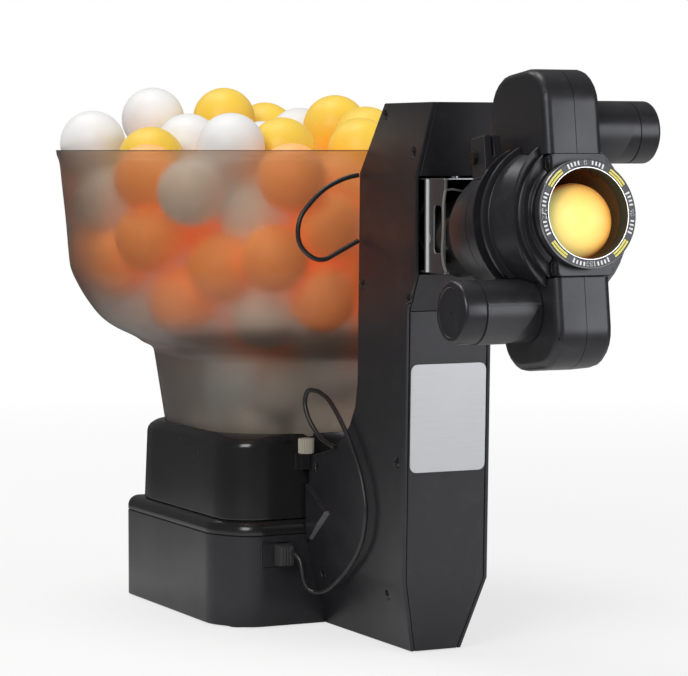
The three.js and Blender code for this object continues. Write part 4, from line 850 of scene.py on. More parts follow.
def hopper_rows(inwards):
    """Rings of the hopper's wall: round in the bowl, a rounded square in the neck, and a smooth step of
    height between them. The bowl's profile is moved square to itself by inwards."""
    bowl = rounded(BOWL_PROFILE, BOWL_ROUNDS)
    way = np.gradient(bowl, axis=0)
    way /= np.linalg.norm(way, axis=1)[:, None]
    bowl = bowl + np.stack([way[:, 1], -way[:, 0]], 1) * inwards
    if inwards > 0:
        bowl[:, 1] = np.minimum(bowl[:, 1], RIM_HEIGHT)
    neck = np.linspace(NECK_TOP, HOPPER_FOOT, NECK_RINGS)[1:]
    rows = np.concatenate([bowl, np.stack([np.full_like(neck, NECK_TOP_HALF), neck], 1)])
    t = np.linspace(0, 2 * math.pi, HOPPER_SIDES, endpoint=False)
    radius, height = rows[:, :1], rows[:, 1:]
    step = np.clip((height - NECK_TOP) / (BOWL_FLOOR - NECK_TOP), 0, 1)
    step = step * step * (3 - 2 * step)
    square = rounded_square(t[None], neck_half(height) - inwards, NECK_ROUND - inwards)
    reach = square + (radius - square) * step
    return np.stack([reach * np.cos(t), reach * np.sin(t), height + 0 * reach], -1)


class ROBOT_OT_hopper(bpy.types.Operator):
    """Makes the smoky see-through hopper: one wall from rim to neck"""

    bl_idname = "robot.hopper"
    bl_label = "Hopper"

    def execute(self, context):
        colours, sizes, _ = settings()
        outer, inner = hopper_rows(0.0), hopper_rows(sizes.hopper_wall / MM)[::-1]
        rim = (outer[:1] + inner[-1:]) / 2
        rim[..., 2] = RIM_HEIGHT
        outer[0, :, 2] -= RIM_EASE
        inner[-1, :, 2] = outer[0, :, 2]
        rows = np.concatenate([outer, inner, rim])
        points = machine_points(rows[..., 0], rows[..., 1], rows[..., 2])
        grid = (points, grid_faces(len(rows), HOPPER_SIDES, wrap_rows=True))
        piece = new_piece("hopper_shell", [grid], smoke_material(colours), "hopper", sharp=50)
        stand_in(piece, "hopper")
        return {"FINISHED"}


def smoke_material(colours):
    """Frosted see-through plastic: glass with a rough surface, cloudy where the moulding is thick, with a
    band of painted shade above the neck, darker where the wall is seen edge on, and open to the lamps'
    light, so that light reaches what it holds."""
    material = new_material(
        "smoked hopper", {"Transmission Weight": 1.0, "IOR": 1.38, "Specular IOR Level": 0.5},
        group_named("moulded surface", moulded_surface_group),
        {"Colour": (*colours.smoke, 1), "Rubbed colour": paler(colours.smoke, 0.12),
         "Roughness": colours.smoke_roughness, "Grain size": 0.0011, "Rub": 0.35, "Dust": 0.04}, 0.06,
    )
    tree = material.node_tree
    shader, effect = node_of(tree, "BSDF_PRINCIPLED"), node_of(tree, "GROUP")
    up = axis_of(tree, object_place(tree), "Z")
    low = spread(tree, up, NECK_TOP * MM, (BOWL_FLOOR + NECK_FADE) * MM, 1.0, 0.0)
    # Painted shade: a dark band between two heights above the neck.
    painted_band = product(tree, spread(tree, up, *PAINTED_BAND_LOW, 0.0, PAINTED_BAND_SHARE),
                   spread(tree, up, *PAINTED_BAND_HIGH, 1.0, 0.0))
    edge = spread(tree, edge_on(tree), *EDGE_SEEN, 0.0, EDGE_SHARE)
    colour = blended(tree, low, effect.outputs["Colour"], (*colours.neck, 1))
    for part in (painted_band, edge):
        colour = blended(tree, part, colour, DEEP_SMOKE_AND_SHADE)
    rough = total(tree, effect.outputs["Roughness"], product(tree, low, NECK_ROUGH))
    tree.links.new(colour, shader.inputs["Base Color"])
    tree.links.new(rough, shader.inputs["Roughness"])
    clear = put(tree, "ShaderNodeBsdfTransparent", {"Color": paler(colours.smoke, 0.35)})
    shadow = put(tree, "ShaderNodeLightPath").outputs["Is Shadow Ray"]
    mixed = put(tree, "ShaderNodeMixShader", {0: shadow, 1: shader.outputs[0], 2: clear.outputs[0]})
    tree.links.new(mixed.outputs[0], node_of(tree, "OUTPUT_MATERIAL").inputs["Surface"])
    return material


# Camera: place, heading and pitch of the photograph's view

CAMERA_PLACE = Vector((-0.7448, -1.4997, 0.283))
CAMERA_HEADING, CAMERA_PITCH = math.radians(25.9), math.radians(3.774)
PICTURE = (688, 676)
SENSOR = 36.0


def camera_axes():
    """Ahead, right and up of the camera as unit vectors."""
    sh, ch = math.sin(CAMERA_HEADING), math.cos(CAMERA_HEADING)
    sp, cp = math.sin(CAMERA_PITCH), math.cos(CAMERA_PITCH)
    return np.array([sh * cp, ch * cp, -sp]), np.array([ch, -sh, 0.0]), np.array([sh * sp, ch * sp, cp])


def sight_line(across, down):
    """The unit direction from the camera through a point of the picture."""
    ahead, right, up = camera_axes()
    pixels = bpy.context.scene.robot_stage.lens / MM / SENSOR * PICTURE[0]
    way = ahead + right * (across - PICTURE[0] / 2) / pixels + up * (PICTURE[1] / 2 - down) / pixels
    return way / np.linalg.norm(way)


# Balls that show: their place in the picture, how far back from the hopper's axis, and their kind. Those
# behind the wall start near it.

WHITE, ORANGE, DEEP = 0, 1, 2
TOP_BALLS = [
    (92.9, 143.5, -12, WHITE), (153, 119, 26, WHITE), (231, 147, -88, WHITE), (299.5, 139, 16, WHITE),
    (151, 160, -74, ORANGE), (224, 119, 8, ORANGE), (265, 133, 60, ORANGE), (282, 151, -96, ORANGE),
    (335, 127, 2, ORANGE), (361, 151, -80, ORANGE), (366, 139, -30, ORANGE), (192, 150, -6, ORANGE),
    (188, 146, -60, WHITE), (330, 152, 70, ORANGE), (262, 154, -34, WHITE),
]
WALL_BALLS = [
    (113, 200, WHITE), (192, 192, WHITE), (254, 216, WHITE), (265, 312, WHITE), (150, 238, ORANGE),
    (222, 268, ORANGE), (292, 266, ORANGE), (184, 300, ORANGE), (327, 226, ORANGE), (322, 297, ORANGE),
    (122, 262, ORANGE), (292, 178, ORANGE), (148, 178, ORANGE), (337, 186, ORANGE), (352, 262, ORANGE),
]
NECK_BALLS = [(235, 374, WHITE), (282, 392, DEEP), (318, 366, DEEP)]
WALL_BACK, NECK_BACK = -110, -60
NECK_FLOOR, BALL_ROOM, WHITE_SHARE, SEEN_SHARE = 112.0, 0.15, 0.3, 0.4
BOWL_REACH, NECK_REACH, PLACE_SEED, AXIS_SEED = 110, 45, 7, 11

# How the balls come to rest: turns, how far they sink in one, the share of an overlap that each of two
# balls gives way, how many of the longest moves make a radius, and the steps of all measuring

TURNS, SINK, PUSH, MOST_MOVE = 700, 1.0, 0.45, 4
WALL_POINTS, WALL_SKIP, OUT_STEP, RISE_STEP, SIGHT_STEP = 900, 3, 0.5, 1.0, 1.0
SIGHT_NEAR, SIGHT_FAR, NEVER, FAR_OFF, TINY = -150.0, 250.0, 1e3, 1e6, 1e-6

# Shading of the balls: seam, painted glow of the balls in the heap, and the ball in the mouth with its
# painted glow

SEAM_DEPTH, SEAM_WIDTH, BALL_SIDE = 0.05, 0.03, (0.2, 0.5, 0.8)
HEAP_PAINTED_GLOW_COLOUR, WHITE_PAINTED_GLOW, WHITE_PAINTED_GLOW_COLOUR = (1.0, 0.29, 0.12), 0.17, (0.7, 0.9, 1.0)
MOUTH_BALL, MOUTH_AXIS = (0.0, 110.7, -3.0), (0.3, 0.2, 1.0)
MOUTH_EDGE_PAINTED_GLOW, MOUTH_MIDDLE_PAINTED_GLOW, MOUTH_MIDDLE = (0.1, 0.015, 0.0, 1), (0.45, 0.56, 0.24, 1), 0.75
FINE_BALL, COARSE_BALL, MOUTH_GRID = (33, 48), (19, 26), (49, 72)


def inner_profile():
    """The hopper's inner wall as dense (radius, height) points in millimetres."""
    rows = hopper_rows(bpy.context.scene.robot_sizes.hopper_wall / MM)
    radius = np.hypot(rows[..., 0], rows[..., 1]).min(axis=1)
    count = np.arange(len(rows))
    dense = np.linspace(0, len(rows) - 1, WALL_POINTS)
    return np.stack([np.interp(dense, count, values) for values in (radius, rows[:, 0, 2])], 1)


def room_at(profile, radius):
    """Heights, and at each how far out a ball's centre may be with the ball just touching the wall."""
    heights = np.arange(NECK_FLOOR, RIM_HEIGHT + 2 * radius, RISE_STEP)
    outs = np.arange(0.0, RIM_RADIUS + 2 * radius, OUT_STEP)
    spot = np.stack(np.meshgrid(outs, heights), -1)
    gap = np.linalg.norm(spot[:, :, None] - profile[None, None, ::WALL_SKIP], axis=-1).min(-1)
    clear = np.logical_and.accumulate(gap > radius, axis=1)
    return heights, np.where(clear, outs[None], 0).max(1)


def settle(places, lines, starts, held, radius, ceiling):
    """Moves balls apart, off the wall and down until they rest. A ball with a line of sight slides only
    along it. Each turn moves the two balls of an overlapping pair nearly half the overlap away."""
    profile = inner_profile()
    heights, room = room_at(profile, radius)
    reach_along = clear_stretch(starts[held], lines[held], heights, room)
    for turn in range(TURNS):
        places[~held, 2] -= SINK * (1 - turn / TURNS)
        gap = places[:, None] - places[None]
        far = np.linalg.norm(gap, axis=2) + np.eye(len(places)) * FAR_OFF
        push = np.maximum(0, 2 * radius + BALL_ROOM - far) / far
        step = (gap * push[..., None]).sum(1) * PUSH
        size = np.maximum(np.linalg.norm(step, axis=1), TINY)
        step *= np.minimum(1, radius / MOST_MOVE / size)[:, None]
        places += step
        rho = np.hypot(places[:, 0], places[:, 1])
        away = np.stack([rho, places[:, 2]], 1)[:, None] - profile[None]
        reach = np.linalg.norm(away, axis=2)
        near = reach.argmin(1)
        row = np.arange(len(places))
        depth = np.maximum(reach[row, near], TINY)
        change = away[row, near] / depth[:, None] * np.maximum(0, radius + BALL_ROOM - depth)[:, None]
        out = rho + change[:, 0]
        places[:, 2] = np.maximum(places[:, 2] + change[:, 1], NECK_FLOOR)
        places[~held, 2] = np.minimum(places[~held, 2], ceiling)
        out = np.minimum(out, np.interp(places[:, 2], heights, room))
        places[:, :2] *= (out / np.maximum(rho, TINY))[:, None]
        along = np.clip(((places[held] - starts[held]) * lines[held]).sum(1), *reach_along)
        places[held] = starts[held] + lines[held] * along[:, None]
    return places


def clear_stretch(starts, lines, heights, room):
    """How far back and forth along its sight line each held ball stays clear of the wall."""
    steps = np.arange(SIGHT_NEAR, SIGHT_FAR, SIGHT_STEP)
    spots = starts[:, None] + lines[:, None] * steps[None, :, None]
    rho = np.hypot(spots[..., 0], spots[..., 1])
    over = (spots[..., 2] > RIM_HEIGHT) & (rho < RIM_RADIUS)
    inside = (rho <= np.interp(spots[..., 2], heights, room)) | over
    return np.where(inside, steps, NEVER).min(1), np.where(inside, steps, -NEVER).max(1)


def shown_balls():
    """Places, sight lines and kinds of the balls that show. Each starts where its sight line meets the
    plane square to the view that lies so far behind the hopper's axis."""
    eye = np.array(CAMERA_PLACE) / MM - np.array([0, AXIS_Y / MM, 0])
    ahead = camera_axes()[0]
    shown = TOP_BALLS + [(across, down, WALL_BACK, kind) for across, down, kind in WALL_BALLS]
    shown += [(across, down, NECK_BACK, kind) for across, down, kind in NECK_BALLS]
    places, lines = [], []
    for across, down, back, _ in shown:
        line = sight_line(across, down)
        places.append(eye + line * ((back - eye @ ahead) / (line @ ahead)))
        lines.append(line)
    return np.array(places), np.array(lines), [kind for *_, kind in shown]


def ball_places():
    """Centres of all loose balls in millimetres, and which are white, orange or deep in the neck."""
    sizes = bpy.context.scene.robot_sizes
    radius, count = sizes.ball / MM / 2, sizes.ball_count
    shown, lines, kinds = shown_balls()
    random = np.random.default_rng(PLACE_SEED)
    angle, out = random.uniform(0, 2 * math.pi, count), np.sqrt(random.uniform(0, 1, count))
    height = random.uniform(NECK_FLOOR, RIM_HEIGHT - radius, count)
    reach = np.where(height > BOWL_FLOOR + radius, BOWL_REACH, NECK_REACH) * out
    loose = np.stack([reach * np.cos(angle), reach * np.sin(angle), height], 1)
    places = np.concatenate([shown, loose])
    lines = np.concatenate([lines, np.zeros((count, 3))])
    held = np.arange(len(places)) < len(shown)
    kinds = np.concatenate([kinds, np.where(random.uniform(0, 1, count) < WHITE_SHARE, WHITE, ORANGE)])
    placed = settle(places.copy(), lines, places.copy(), held, radius, RIM_HEIGHT - radius)
    kinds[(placed[:, 2] < NECK_TOP + radius / 2) & ~held] = DEEP
    return placed, kinds, radius


def ball_grid(centre, radius, axis, rows, cols):
    """A ball: a globe of latitudes and longitudes whose radius dips a little at the equator, where its
    halves are welded, with the poles along the given axis."""
    axis = axis / np.linalg.norm(axis)
    side = np.cross(axis, BALL_SIDE)
    side /= np.linalg.norm(side)
    other = np.cross(axis, side)
    v = np.linspace(-math.pi / 2, math.pi / 2, rows)[:, None]
    t = np.linspace(0, 2 * math.pi, cols, endpoint=False)[None]
    reach = radius - SEAM_DEPTH * np.exp(-((v / SEAM_WIDTH) ** 2))
    spin = (reach * np.cos(v))[..., None] * (np.cos(t)[..., None] * side + np.sin(t)[..., None] * other)
    return centre + spin + (reach * np.sin(v) + 0 * t)[..., None] * axis, grid_faces(rows, cols)


def ball_material(name, colour, glow, painted_glow=0.0, painted_glow_colour=(0, 0, 0)):
    """Matt celluloid that lets a little light in, with faint scuffs. In the heap it is given a painted
    glow, an emitted light of the given colour and strength."""
    return new_material(
        name, {"Subsurface Weight": glow, "Subsurface Radius": (1.0, 0.6, 0.3), "Subsurface Scale": 0.004,
               "Sheen Weight": 0.1, "Emission Color": (*painted_glow_colour, 1), "Emission Strength": painted_glow},
        group_named("moulded surface", moulded_surface_group),
        {"Colour": (*colour, 1), "Rubbed colour": paler(colour, 0.18), "Roughness": 0.48,
         "Grain size": 0.0005, "Rub": 0.3, "Dust": 0.0}, 0.06,
    )


def painted_glow_ball_material(colours):
    """The ball in the mouth, with a painted glow that is brightest where it is seen square on."""
    material = ball_material("ball in the mouth", colours.mouth_orange_shaded, 0.12)
    tree = material.node_tree
    shader = node_of(tree, "BSDF_PRINCIPLED")
    # Painted glow: the ball emits light, most where it is seen square on.
    middle = spread(tree, edge_on(tree), 0.0, MOUTH_MIDDLE, 1.0, 0.0)
    glow = blended(tree, middle, MOUTH_EDGE_PAINTED_GLOW, MOUTH_MIDDLE_PAINTED_GLOW)
    tree.links.new(glow, shader.inputs["Emission Color"])
    shader.inputs["Emission Strength"].default_value = 1.0
    return material


def heaps(kinds, seen):
    """Each heap of balls: its name, which balls are in it, their finish and the steps of their grids. Balls
    that stand above the rim are finer. Those in the heap below it have a painted glow, and those below it
    have colours darkened as painted shade."""
    colours, _, _ = settings()
    # Painted shade: the heap's white, the neck's white and the heap's orange are darker copies of the
    # balls' colours.
    white = ball_material("white ball", colours.ball_white, 0.12)
    orange = ball_material("orange ball", colours.ball_orange, 0.12)
    # Painted glow: the white and orange balls in the heap emit light, though they are no lamps.
    dim = ball_material("white ball in the heap", colours.ball_white_shaded, 0.1, WHITE_PAINTED_GLOW, WHITE_PAINTED_GLOW_COLOUR)
    deep = ball_material("white ball in the neck", colours.ball_white_shaded, 0.1)
    painted_glow = ball_material("orange ball in the heap", colours.heap_orange_shaded, 0.1, colours.heap_painted_glow, HEAP_PAINTED_GLOW_COLOUR)
    return (
        ("white_balls", (kinds == WHITE) & seen, white, FINE_BALL),
        ("orange_balls", (kinds == ORANGE) & seen, orange, FINE_BALL),
        ("white_heap", (kinds == WHITE) & ~seen, dim, COARSE_BALL),
        ("orange_heap", (kinds == ORANGE) & ~seen, painted_glow, COARSE_BALL),
        ("neck_balls", kinds == DEEP, deep, COARSE_BALL),
    )


class ROBOT_OT_balls(bpy.types.Operator):
    """Fills the hopper with loose balls, and puts one in the mouth"""

    bl_idname = "robot.balls"
    bl_label = "Balls"

    def execute(self, context):
        colours, _, _ = settings()
        places, kinds, radius = ball_places()
        axes = np.random.default_rng(AXIS_SEED).normal(size=(len(places), 3))
        for name, chosen, material, steps in heaps(kinds, places[:, 2] > RIM_HEIGHT - radius * SEEN_SHARE):
            grids = []
            for centre, axis in zip(places[chosen], axes[chosen]):
                points, faces = ball_grid(centre, radius, axis, *steps)
                grids.append((machine_points(points[..., 0], -points[..., 1], points[..., 2]), faces))
            new_piece(name, grids, material, "hopper", sharp=60)
        points, faces = ball_grid(np.array(MOUTH_BALL), radius, np.array(MOUTH_AXIS), *MOUTH_GRID)
        grid = (head_points(points[..., 0], points[..., 1], points[..., 2]), faces)
        new_piece("mouth_ball", [grid], painted_glow_ball_material(colours), "head", sharp=60)
        return {"FINISHED"}


# Dial ring in the mouth: its profile, the silver lines on its lip and rim, ticks, plain numbers and bars

DIAL_OUTER, DIAL_INNER, DIAL_BACK, DIAL_SLEEVE, DIAL_FRONT = 28.3, 23.2, 121.9, 25.6, 127.6
DIAL_PROFILE = [
    (DIAL_INNER, DIAL_BACK - 8.8), (DIAL_SLEEVE, DIAL_BACK - 8.8), (DIAL_SLEEVE, DIAL_BACK),
    (DIAL_OUTER - 0.3, DIAL_BACK), (DIAL_OUTER, DIAL_BACK + 0.3), (DIAL_OUTER, DIAL_FRONT - 1.0),
    (DIAL_OUTER - 0.25, DIAL_FRONT - 0.5), (DIAL_OUTER - 0.7, DIAL_FRONT - 0.3),
    (DIAL_OUTER - 1.0, DIAL_FRONT - 0.3), (DIAL_INNER + 0.9, DIAL_FRONT - 0.3),
    (DIAL_INNER + 0.7, DIAL_FRONT), (DIAL_INNER + 0.2, DIAL_FRONT), (DIAL_INNER, DIAL_FRONT - 0.3),
]
DIAL_SIDES, BORE_SIDES = 120, 96
LINE_LIP = [
    (DIAL_INNER + 0.15, DIAL_FRONT - 0.1), (DIAL_INNER + 0.6, DIAL_FRONT - 0.1),
    (DIAL_INNER + 0.55, DIAL_FRONT + 0.06), (DIAL_INNER + 0.2, DIAL_FRONT + 0.06),
]
LINE_RIM = [
    (DIAL_OUTER - 0.6, DIAL_FRONT - 0.6), (DIAL_OUTER + 0.04, DIAL_FRONT - 1.3),
    (DIAL_OUTER + 0.08, DIAL_FRONT - 0.9), (DIAL_OUTER - 0.12, DIAL_FRONT - 0.42),
    (DIAL_OUTER - 0.6, DIAL_FRONT - 0.22),
]
MARK_FACE, MARK_RISE = DIAL_FRONT - 0.3, 0.15
NUMBERS, NUMBER_SIZE, NUMBER_GROWN = ("0", "90", "180", "270"), 3.9, 0.06
NUMBER_MIDDLE = (DIAL_INNER + DIAL_OUTER) / 2 - 0.05
QUARTER, LONG_TICK, TICKS, TICK_APART = math.pi / 2, 5, (-5, -4, -3, -2, 2, 3, 4, 5), math.radians(4.6)
TICK_INNER, TICK_OUTER, TICK_SHORTER, TICK_HALF = DIAL_INNER + 1.3, DIAL_OUTER - 1.2, 0.5, 0.017
BAR_START, BAR_END, BAR_EDGES = math.radians(33), math.radians(57), ((1.3, 2.3), (2.8, 3.8))
TICK_STEPS, BAR_STEPS, TICK_MERGE, NUMBER_MERGE = 3, 24, 0.002 * MM, 0.0005 * MM

# Ball guide and mouth behind the ring

GUIDE_BORE, GUIDE_WALL, MOUTH_BORE = 20.5, 1.4, 23.1
BORE_PROFILE = [
    (GUIDE_BORE, 68.0), (GUIDE_BORE + GUIDE_WALL, 68.0), (GUIDE_BORE + GUIDE_WALL, 101.0),
    (MOUTH_BORE + 0.8, 106.0), (MOUTH_BORE + 0.8, 120.0), (MOUTH_BORE, 120.0), (MOUTH_BORE, 106.4),
    (GUIDE_BORE, 101.4),
]


def arc_block(inner, outer, start, end, steps):
    """A raised mark bent round the barrel's axis: a closed rectangle section carried from one angle to
    another, with its end faces drawn to a point so that they close."""
    t = np.linspace(start, end, steps)[:, None]
    low, high = MARK_FACE - MARK_RISE, MARK_FACE + MARK_RISE
    section = np.array([(inner, low), (outer, low), (outer, high), (inner, high)])
    radius, along = section[None, :, 0], section[None, :, 1]
    rows = capped(along_barrel(radius * np.cos(t), radius * np.sin(t), along + 0 * t))
    return rows, grid_faces(len(rows), len(section))


def flat_number(text):
    """The points and triangles of a raised number that lies flat, about its own middle."""
    curve = bpy.data.curves.new("dial number", "FONT")
    curve.body, curve.align_x, curve.align_y = text, "CENTER", "CENTER"
    curve.size, curve.extrude, curve.offset = NUMBER_SIZE, MARK_RISE / 2, NUMBER_GROWN
    letter = bpy.data.objects.new("dial number", curve)
    bpy.context.scene.collection.objects.link(letter)
    bpy.context.view_layer.update()
    mesh = letter.evaluated_get(bpy.context.evaluated_depsgraph_get()).to_mesh()
    work = bmesh.new()
    work.from_mesh(mesh)
    bmesh.ops.triangulate(work, faces=work.faces)
    spots = np.array([v.co for v in work.verts])
    triangles = np.array([[v.index for v in f.verts] for f in work.faces])
    work.free()
    bpy.data.objects.remove(letter)
    return spots, triangles


def plain_numbers():
    """Raised numbers of the dial, one a quarter, each bent round the ring: across the number is an angle,
    and up it a radius."""
    grids = []
    for index, text in enumerate(NUMBERS):
        spots, triangles = flat_number(text)
        angle = QUARTER - index * QUARTER - spots[:, 0] / NUMBER_MIDDLE
        radius = NUMBER_MIDDLE + spots[:, 1]
        points = along_barrel(radius * np.cos(angle), radius * np.sin(angle), MARK_FACE + spots[:, 2])
        grids.append((points, np.column_stack([triangles, triangles[:, 2]])))
    return grids


def dial_ticks():
    """Ticks in each quarter of the ring, the outermost of which are longer."""
    blocks = []
    for quarter in range(len(NUMBERS)):
        for step in TICKS:
            angle = quarter * QUARTER + step * TICK_APART
            inner = TICK_INNER + (TICK_SHORTER if abs(step) != LONG_TICK else 0.0)
            blocks.append(arc_block(inner, TICK_OUTER, angle - TICK_HALF, angle + TICK_HALF, TICK_STEPS))
    return blocks


def dial_bars():
    """Two bars, one outside the other, in the middle of each quarter of the ring."""
    return [arc_block(DIAL_INNER + inner, DIAL_INNER + outer,
                      quarter * QUARTER + BAR_START, quarter * QUARTER + BAR_END, BAR_STEPS)
            for quarter in range(len(NUMBERS)) for inner, outer in BAR_EDGES]


class ROBOT_OT_dial(bpy.types.Operator):
    """Makes the dial ring round the mouth with its marks, and the ball guide inside it"""

    bl_idname = "robot.dial"
    bl_label = "Dial ring"

    def execute(self, context):
        colours, _, _ = settings()
        ring = close_profile(DIAL_PROFILE, along_barrel, DIAL_SIDES)
        stand_in(new_piece("dial_rim", [ring], shell_finish(), "head", sharp=30), "dial_ring")
        pale = plastic("dial white", (0.72, 0.72, 0.72), 0.5, bump=0.05, dust=0.0)
        bars = plastic("dial yellow", colours.marks, 0.5, bump=0.05, dust=0.0)
        new_piece("dial_ticks", dial_ticks(), pale, "head", sharp=30, merge=TICK_MERGE)
        new_piece("dial_numbers", plain_numbers(), pale, "head", sharp=30, merge=NUMBER_MERGE)
        new_piece("dial_bars", dial_bars(), bars, "head", sharp=30)
        rings = [close_profile(line, along_barrel, DIAL_SIDES) for line in (LINE_LIP, LINE_RIM)]
        new_piece("dial_line", rings, metal("dial silver", (0.7, 0.7, 0.7), 0.3), "head", sharp=30)
        # The bore is dark plastic. Its orange tint is a painted reflection of the orange ball.
        bore = plastic("mouth bore with painted reflection", (0.075, 0.016, 0.004), 0.24, grain=0.001, bump=0.04, dust=0.0)
        guide = close_profile(BORE_PROFILE, along_barrel, BORE_SIDES)
        stand_in(new_piece("mouth_tube", [guide], bore, "head", sharp=40), "ball_guide")
        return {"FINISHED"}


# Wheel motor covers: the cap, its seam, the wrap round the front, and the strip that ends the lower wrap.
# A wrap reaches to a near length, plus a further one times a power of the share of its angle. The cover's
# profile is in pieces of (inwards, along): along from the housing, from the cap, and from the end.

COVER_RADIUS, HOUSING_FACE, UPPER_END, LOWER_END = 16.5, 17.1, 60.8, 62.0
CAP_LENGTH, CAP_ROUND, ROUND_STEPS, COVER_SIDES = 12.5, 2.2, 7, 96
OPEN_END = [(1.8, 0.0), (0.2, 0.0), (0.0, 0.2)]
CAP_SEAM = [(0.0, -0.5), (0.45, -0.35), (0.45, 0.1), (0.0, 0.3)]
CAP_DISH = [(3.4, 0.0), (3.8, -0.35), (16.1, -0.35), (16.1, -1.8), (3.5, -1.8), (1.8, -3.5)]
WRAP_INSIDE, WRAP_RISE, STRIP_RISE, WRAP_ROWS, WRAP_COLS = 0.2, 0.5, 0.9, 16, 40
UPPER_WRAP, LOWER_WRAP, STRIP_WRAP = (36.0, 8.0, 1.5), (33.0, -14.0, 2), (18.0, 0, 1)
UPPER_ARC = (math.radians(-95), math.radians(1))
LOWER_ARC = (math.radians(-125), math.radians(6))
STRIP_ARC = (LOWER_ARC[1], LOWER_ARC[1] + math.radians(4))
UPPER_START, LOWER_START = HOUSING_FACE + 0.2, LOWER_END - CAP_LENGTH - 0.5


def cover_profile(end):
    """A motor cover: an open cup with a seam behind its cap, a rounded end and a shallow dish in it."""
    turn = np.linspace(0, math.pi / 2, ROUND_STEPS)
    arc = zip(CAP_ROUND * (1 - np.cos(turn)), -CAP_ROUND * (1 - np.sin(turn)))
    parts = ((OPEN_END, HOUSING_FACE), (CAP_SEAM, end - CAP_LENGTH), ([*arc, *CAP_DISH], end),
             (OPEN_END[:1], HOUSING_FACE))
    return [(COVER_RADIUS - inwards, start + along) for points, start in parts for inwards, along in points]


def wrap_sleeve(placed, start, reach, arc, rise):
    """A thin sleeve on a motor cover along an arc, from a start along the axis to a curved free end."""
    near, further, curve = reach
    part = np.linspace(0, 1, WRAP_COLS)
    angle = (arc[0] + (arc[1] - arc[0]) * part)[None]
    far = (near + further * part**curve)[None]
    along = start + (far - start) * np.linspace(0, 1, WRAP_ROWS)[:, None]
    under, over = (placed(radius * np.cos(angle), radius * np.sin(angle), along)
                   for radius in (COVER_RADIUS - WRAP_INSIDE, COVER_RADIUS + rise))
    return closed_sheet(over, under)


class ROBOT_OT_motor_covers(bpy.types.Operator):
    """Makes the two wheel motor covers with caps and wraps"""

    bl_idname = "robot.motor_covers"
    bl_label = "Motor covers"

    def execute(self, context):
        colours, _, _ = settings()
        shell = plastic("black motor cover", colours.shell, 0.33, grain=0.0006)
        wrap = plastic("black motor wrap", paler(colours.shell, 0.02), 0.42, grain=0.0005)
        upper, lower = across_head(1, 1), across_head(-1, -1)
        upper_wrap = wrap_sleeve(upper, UPPER_START, UPPER_WRAP, UPPER_ARC, WRAP_RISE)
        lower_wrap = wrap_sleeve(lower, LOWER_START, LOWER_WRAP, LOWER_ARC, WRAP_RISE)
        lower_wrap += wrap_sleeve(lower, LOWER_START, STRIP_WRAP, STRIP_ARC, STRIP_RISE)
        for name, placed, end, sleeves in (("upper", upper, UPPER_END, upper_wrap),
                                           ("lower", lower, LOWER_END, lower_wrap)):
            cover = turned(cover_profile(end), placed, COVER_SIDES)
            piece = new_piece(name + "_motor_shell", [cover], shell, "head", sharp=40)
            stand_in(piece, name + "_motor_cover")
            stand_in(new_piece(name + "_motor_wrap", sleeves, wrap, "head", sharp=40), None)
        return {"FINISHED"}


# Screws: pan heads with a crossed recess, in the seats of the side covers and in wells beside the mouth

SCREW_SEATS = [
    (178.1, 302.5, "cover_screw_top_rear"), (212.8, 281.9, "cover_screw_top_front"), (149.8, 206.9, None),
    (206.0, 201.0, "cover_screw_sill"), (192.8, 108.9, None), (175.5, 31.9, "cover_screw_toe"),
    (88.5, 95.9, None), (91.1, 32.5, None),
]
TOWER_HALF, TOWER_FOOT_HALF, TAPER_HEIGHT = 26.8, 15.6, 42.0
SEAT_DEPTH, SEAT_RISE, SCREW_SIDES = 1.5, 0.3, 48
HEAD_RISE, HEAD_FLAT, HEAD_WALL, FACE_REACH, FACE_ROWS = 1.15, 0.75, 0.42, 0.96, 13
CROSS_HALF, CROSS_REACH, CROSS_DEPTH = 0.34, 0.62, 0.8
BLOCK_FACE, BLOCK_ALONG, BLOCK_UP, BLOCK_SCREW, BLOCK_HALF, BLOCK_TALL = 16.0, 117.0, 26.6, 1.7, 2.6, 3.6
BLOCK_LOW, BLOCK_SUNK, WELL_CORNER, WELL_WIDTH, WELL_RISE = 0.6, 0.2, BLOCK_HALF - 0.05, 0.6, 0.5


def screw_face(radius):
    """A pan head as a height over each (radius, angle): a flat dome with a cross sunk in its middle, and
    the wall and the under side below."""
    r = np.concatenate([np.linspace(0, FACE_REACH, FACE_ROWS), [1.0, 1.0, 0.0]])[:, None] * radius
    t = np.linspace(0, 2 * math.pi, SCREW_SIDES, endpoint=False)[None]
    x, y = r * np.cos(t), r * np.sin(t)
    dome = HEAD_RISE * np.sqrt(np.clip(1 - (r / radius) ** 2 * HEAD_FLAT, 0, 1)) + 0 * t
    arm = (np.minimum(np.abs(x), np.abs(y)) < CROSS_HALF) & (r < radius * CROSS_REACH)
    height = dome - CROSS_DEPTH * arm
    height[-3] = HEAD_RISE * HEAD_WALL
    height[-2:] = 0
    return x, y, height


def on_cover(side, forward, up):
    """Gives the function that places points in a seat of a side cover, whose face tapers at the foot."""
    taper = min(1.0, up / TAPER_HEIGHT)
    seat = TOWER_FOOT_HALF + (TOWER_HALF - TOWER_FOOT_HALF) * taper - SEAT_DEPTH + SEAT_RISE
    return lambda a, b, out: machine_points(side * (seat + out), forward + side * a, up + b)


def on_block(side, up):
    """Gives the function that places points on the side of a mouth block."""
    return lambda a, b, out: head_points(side * (BLOCK_FACE + out), BLOCK_ALONG + a, up * BLOCK_UP + b)


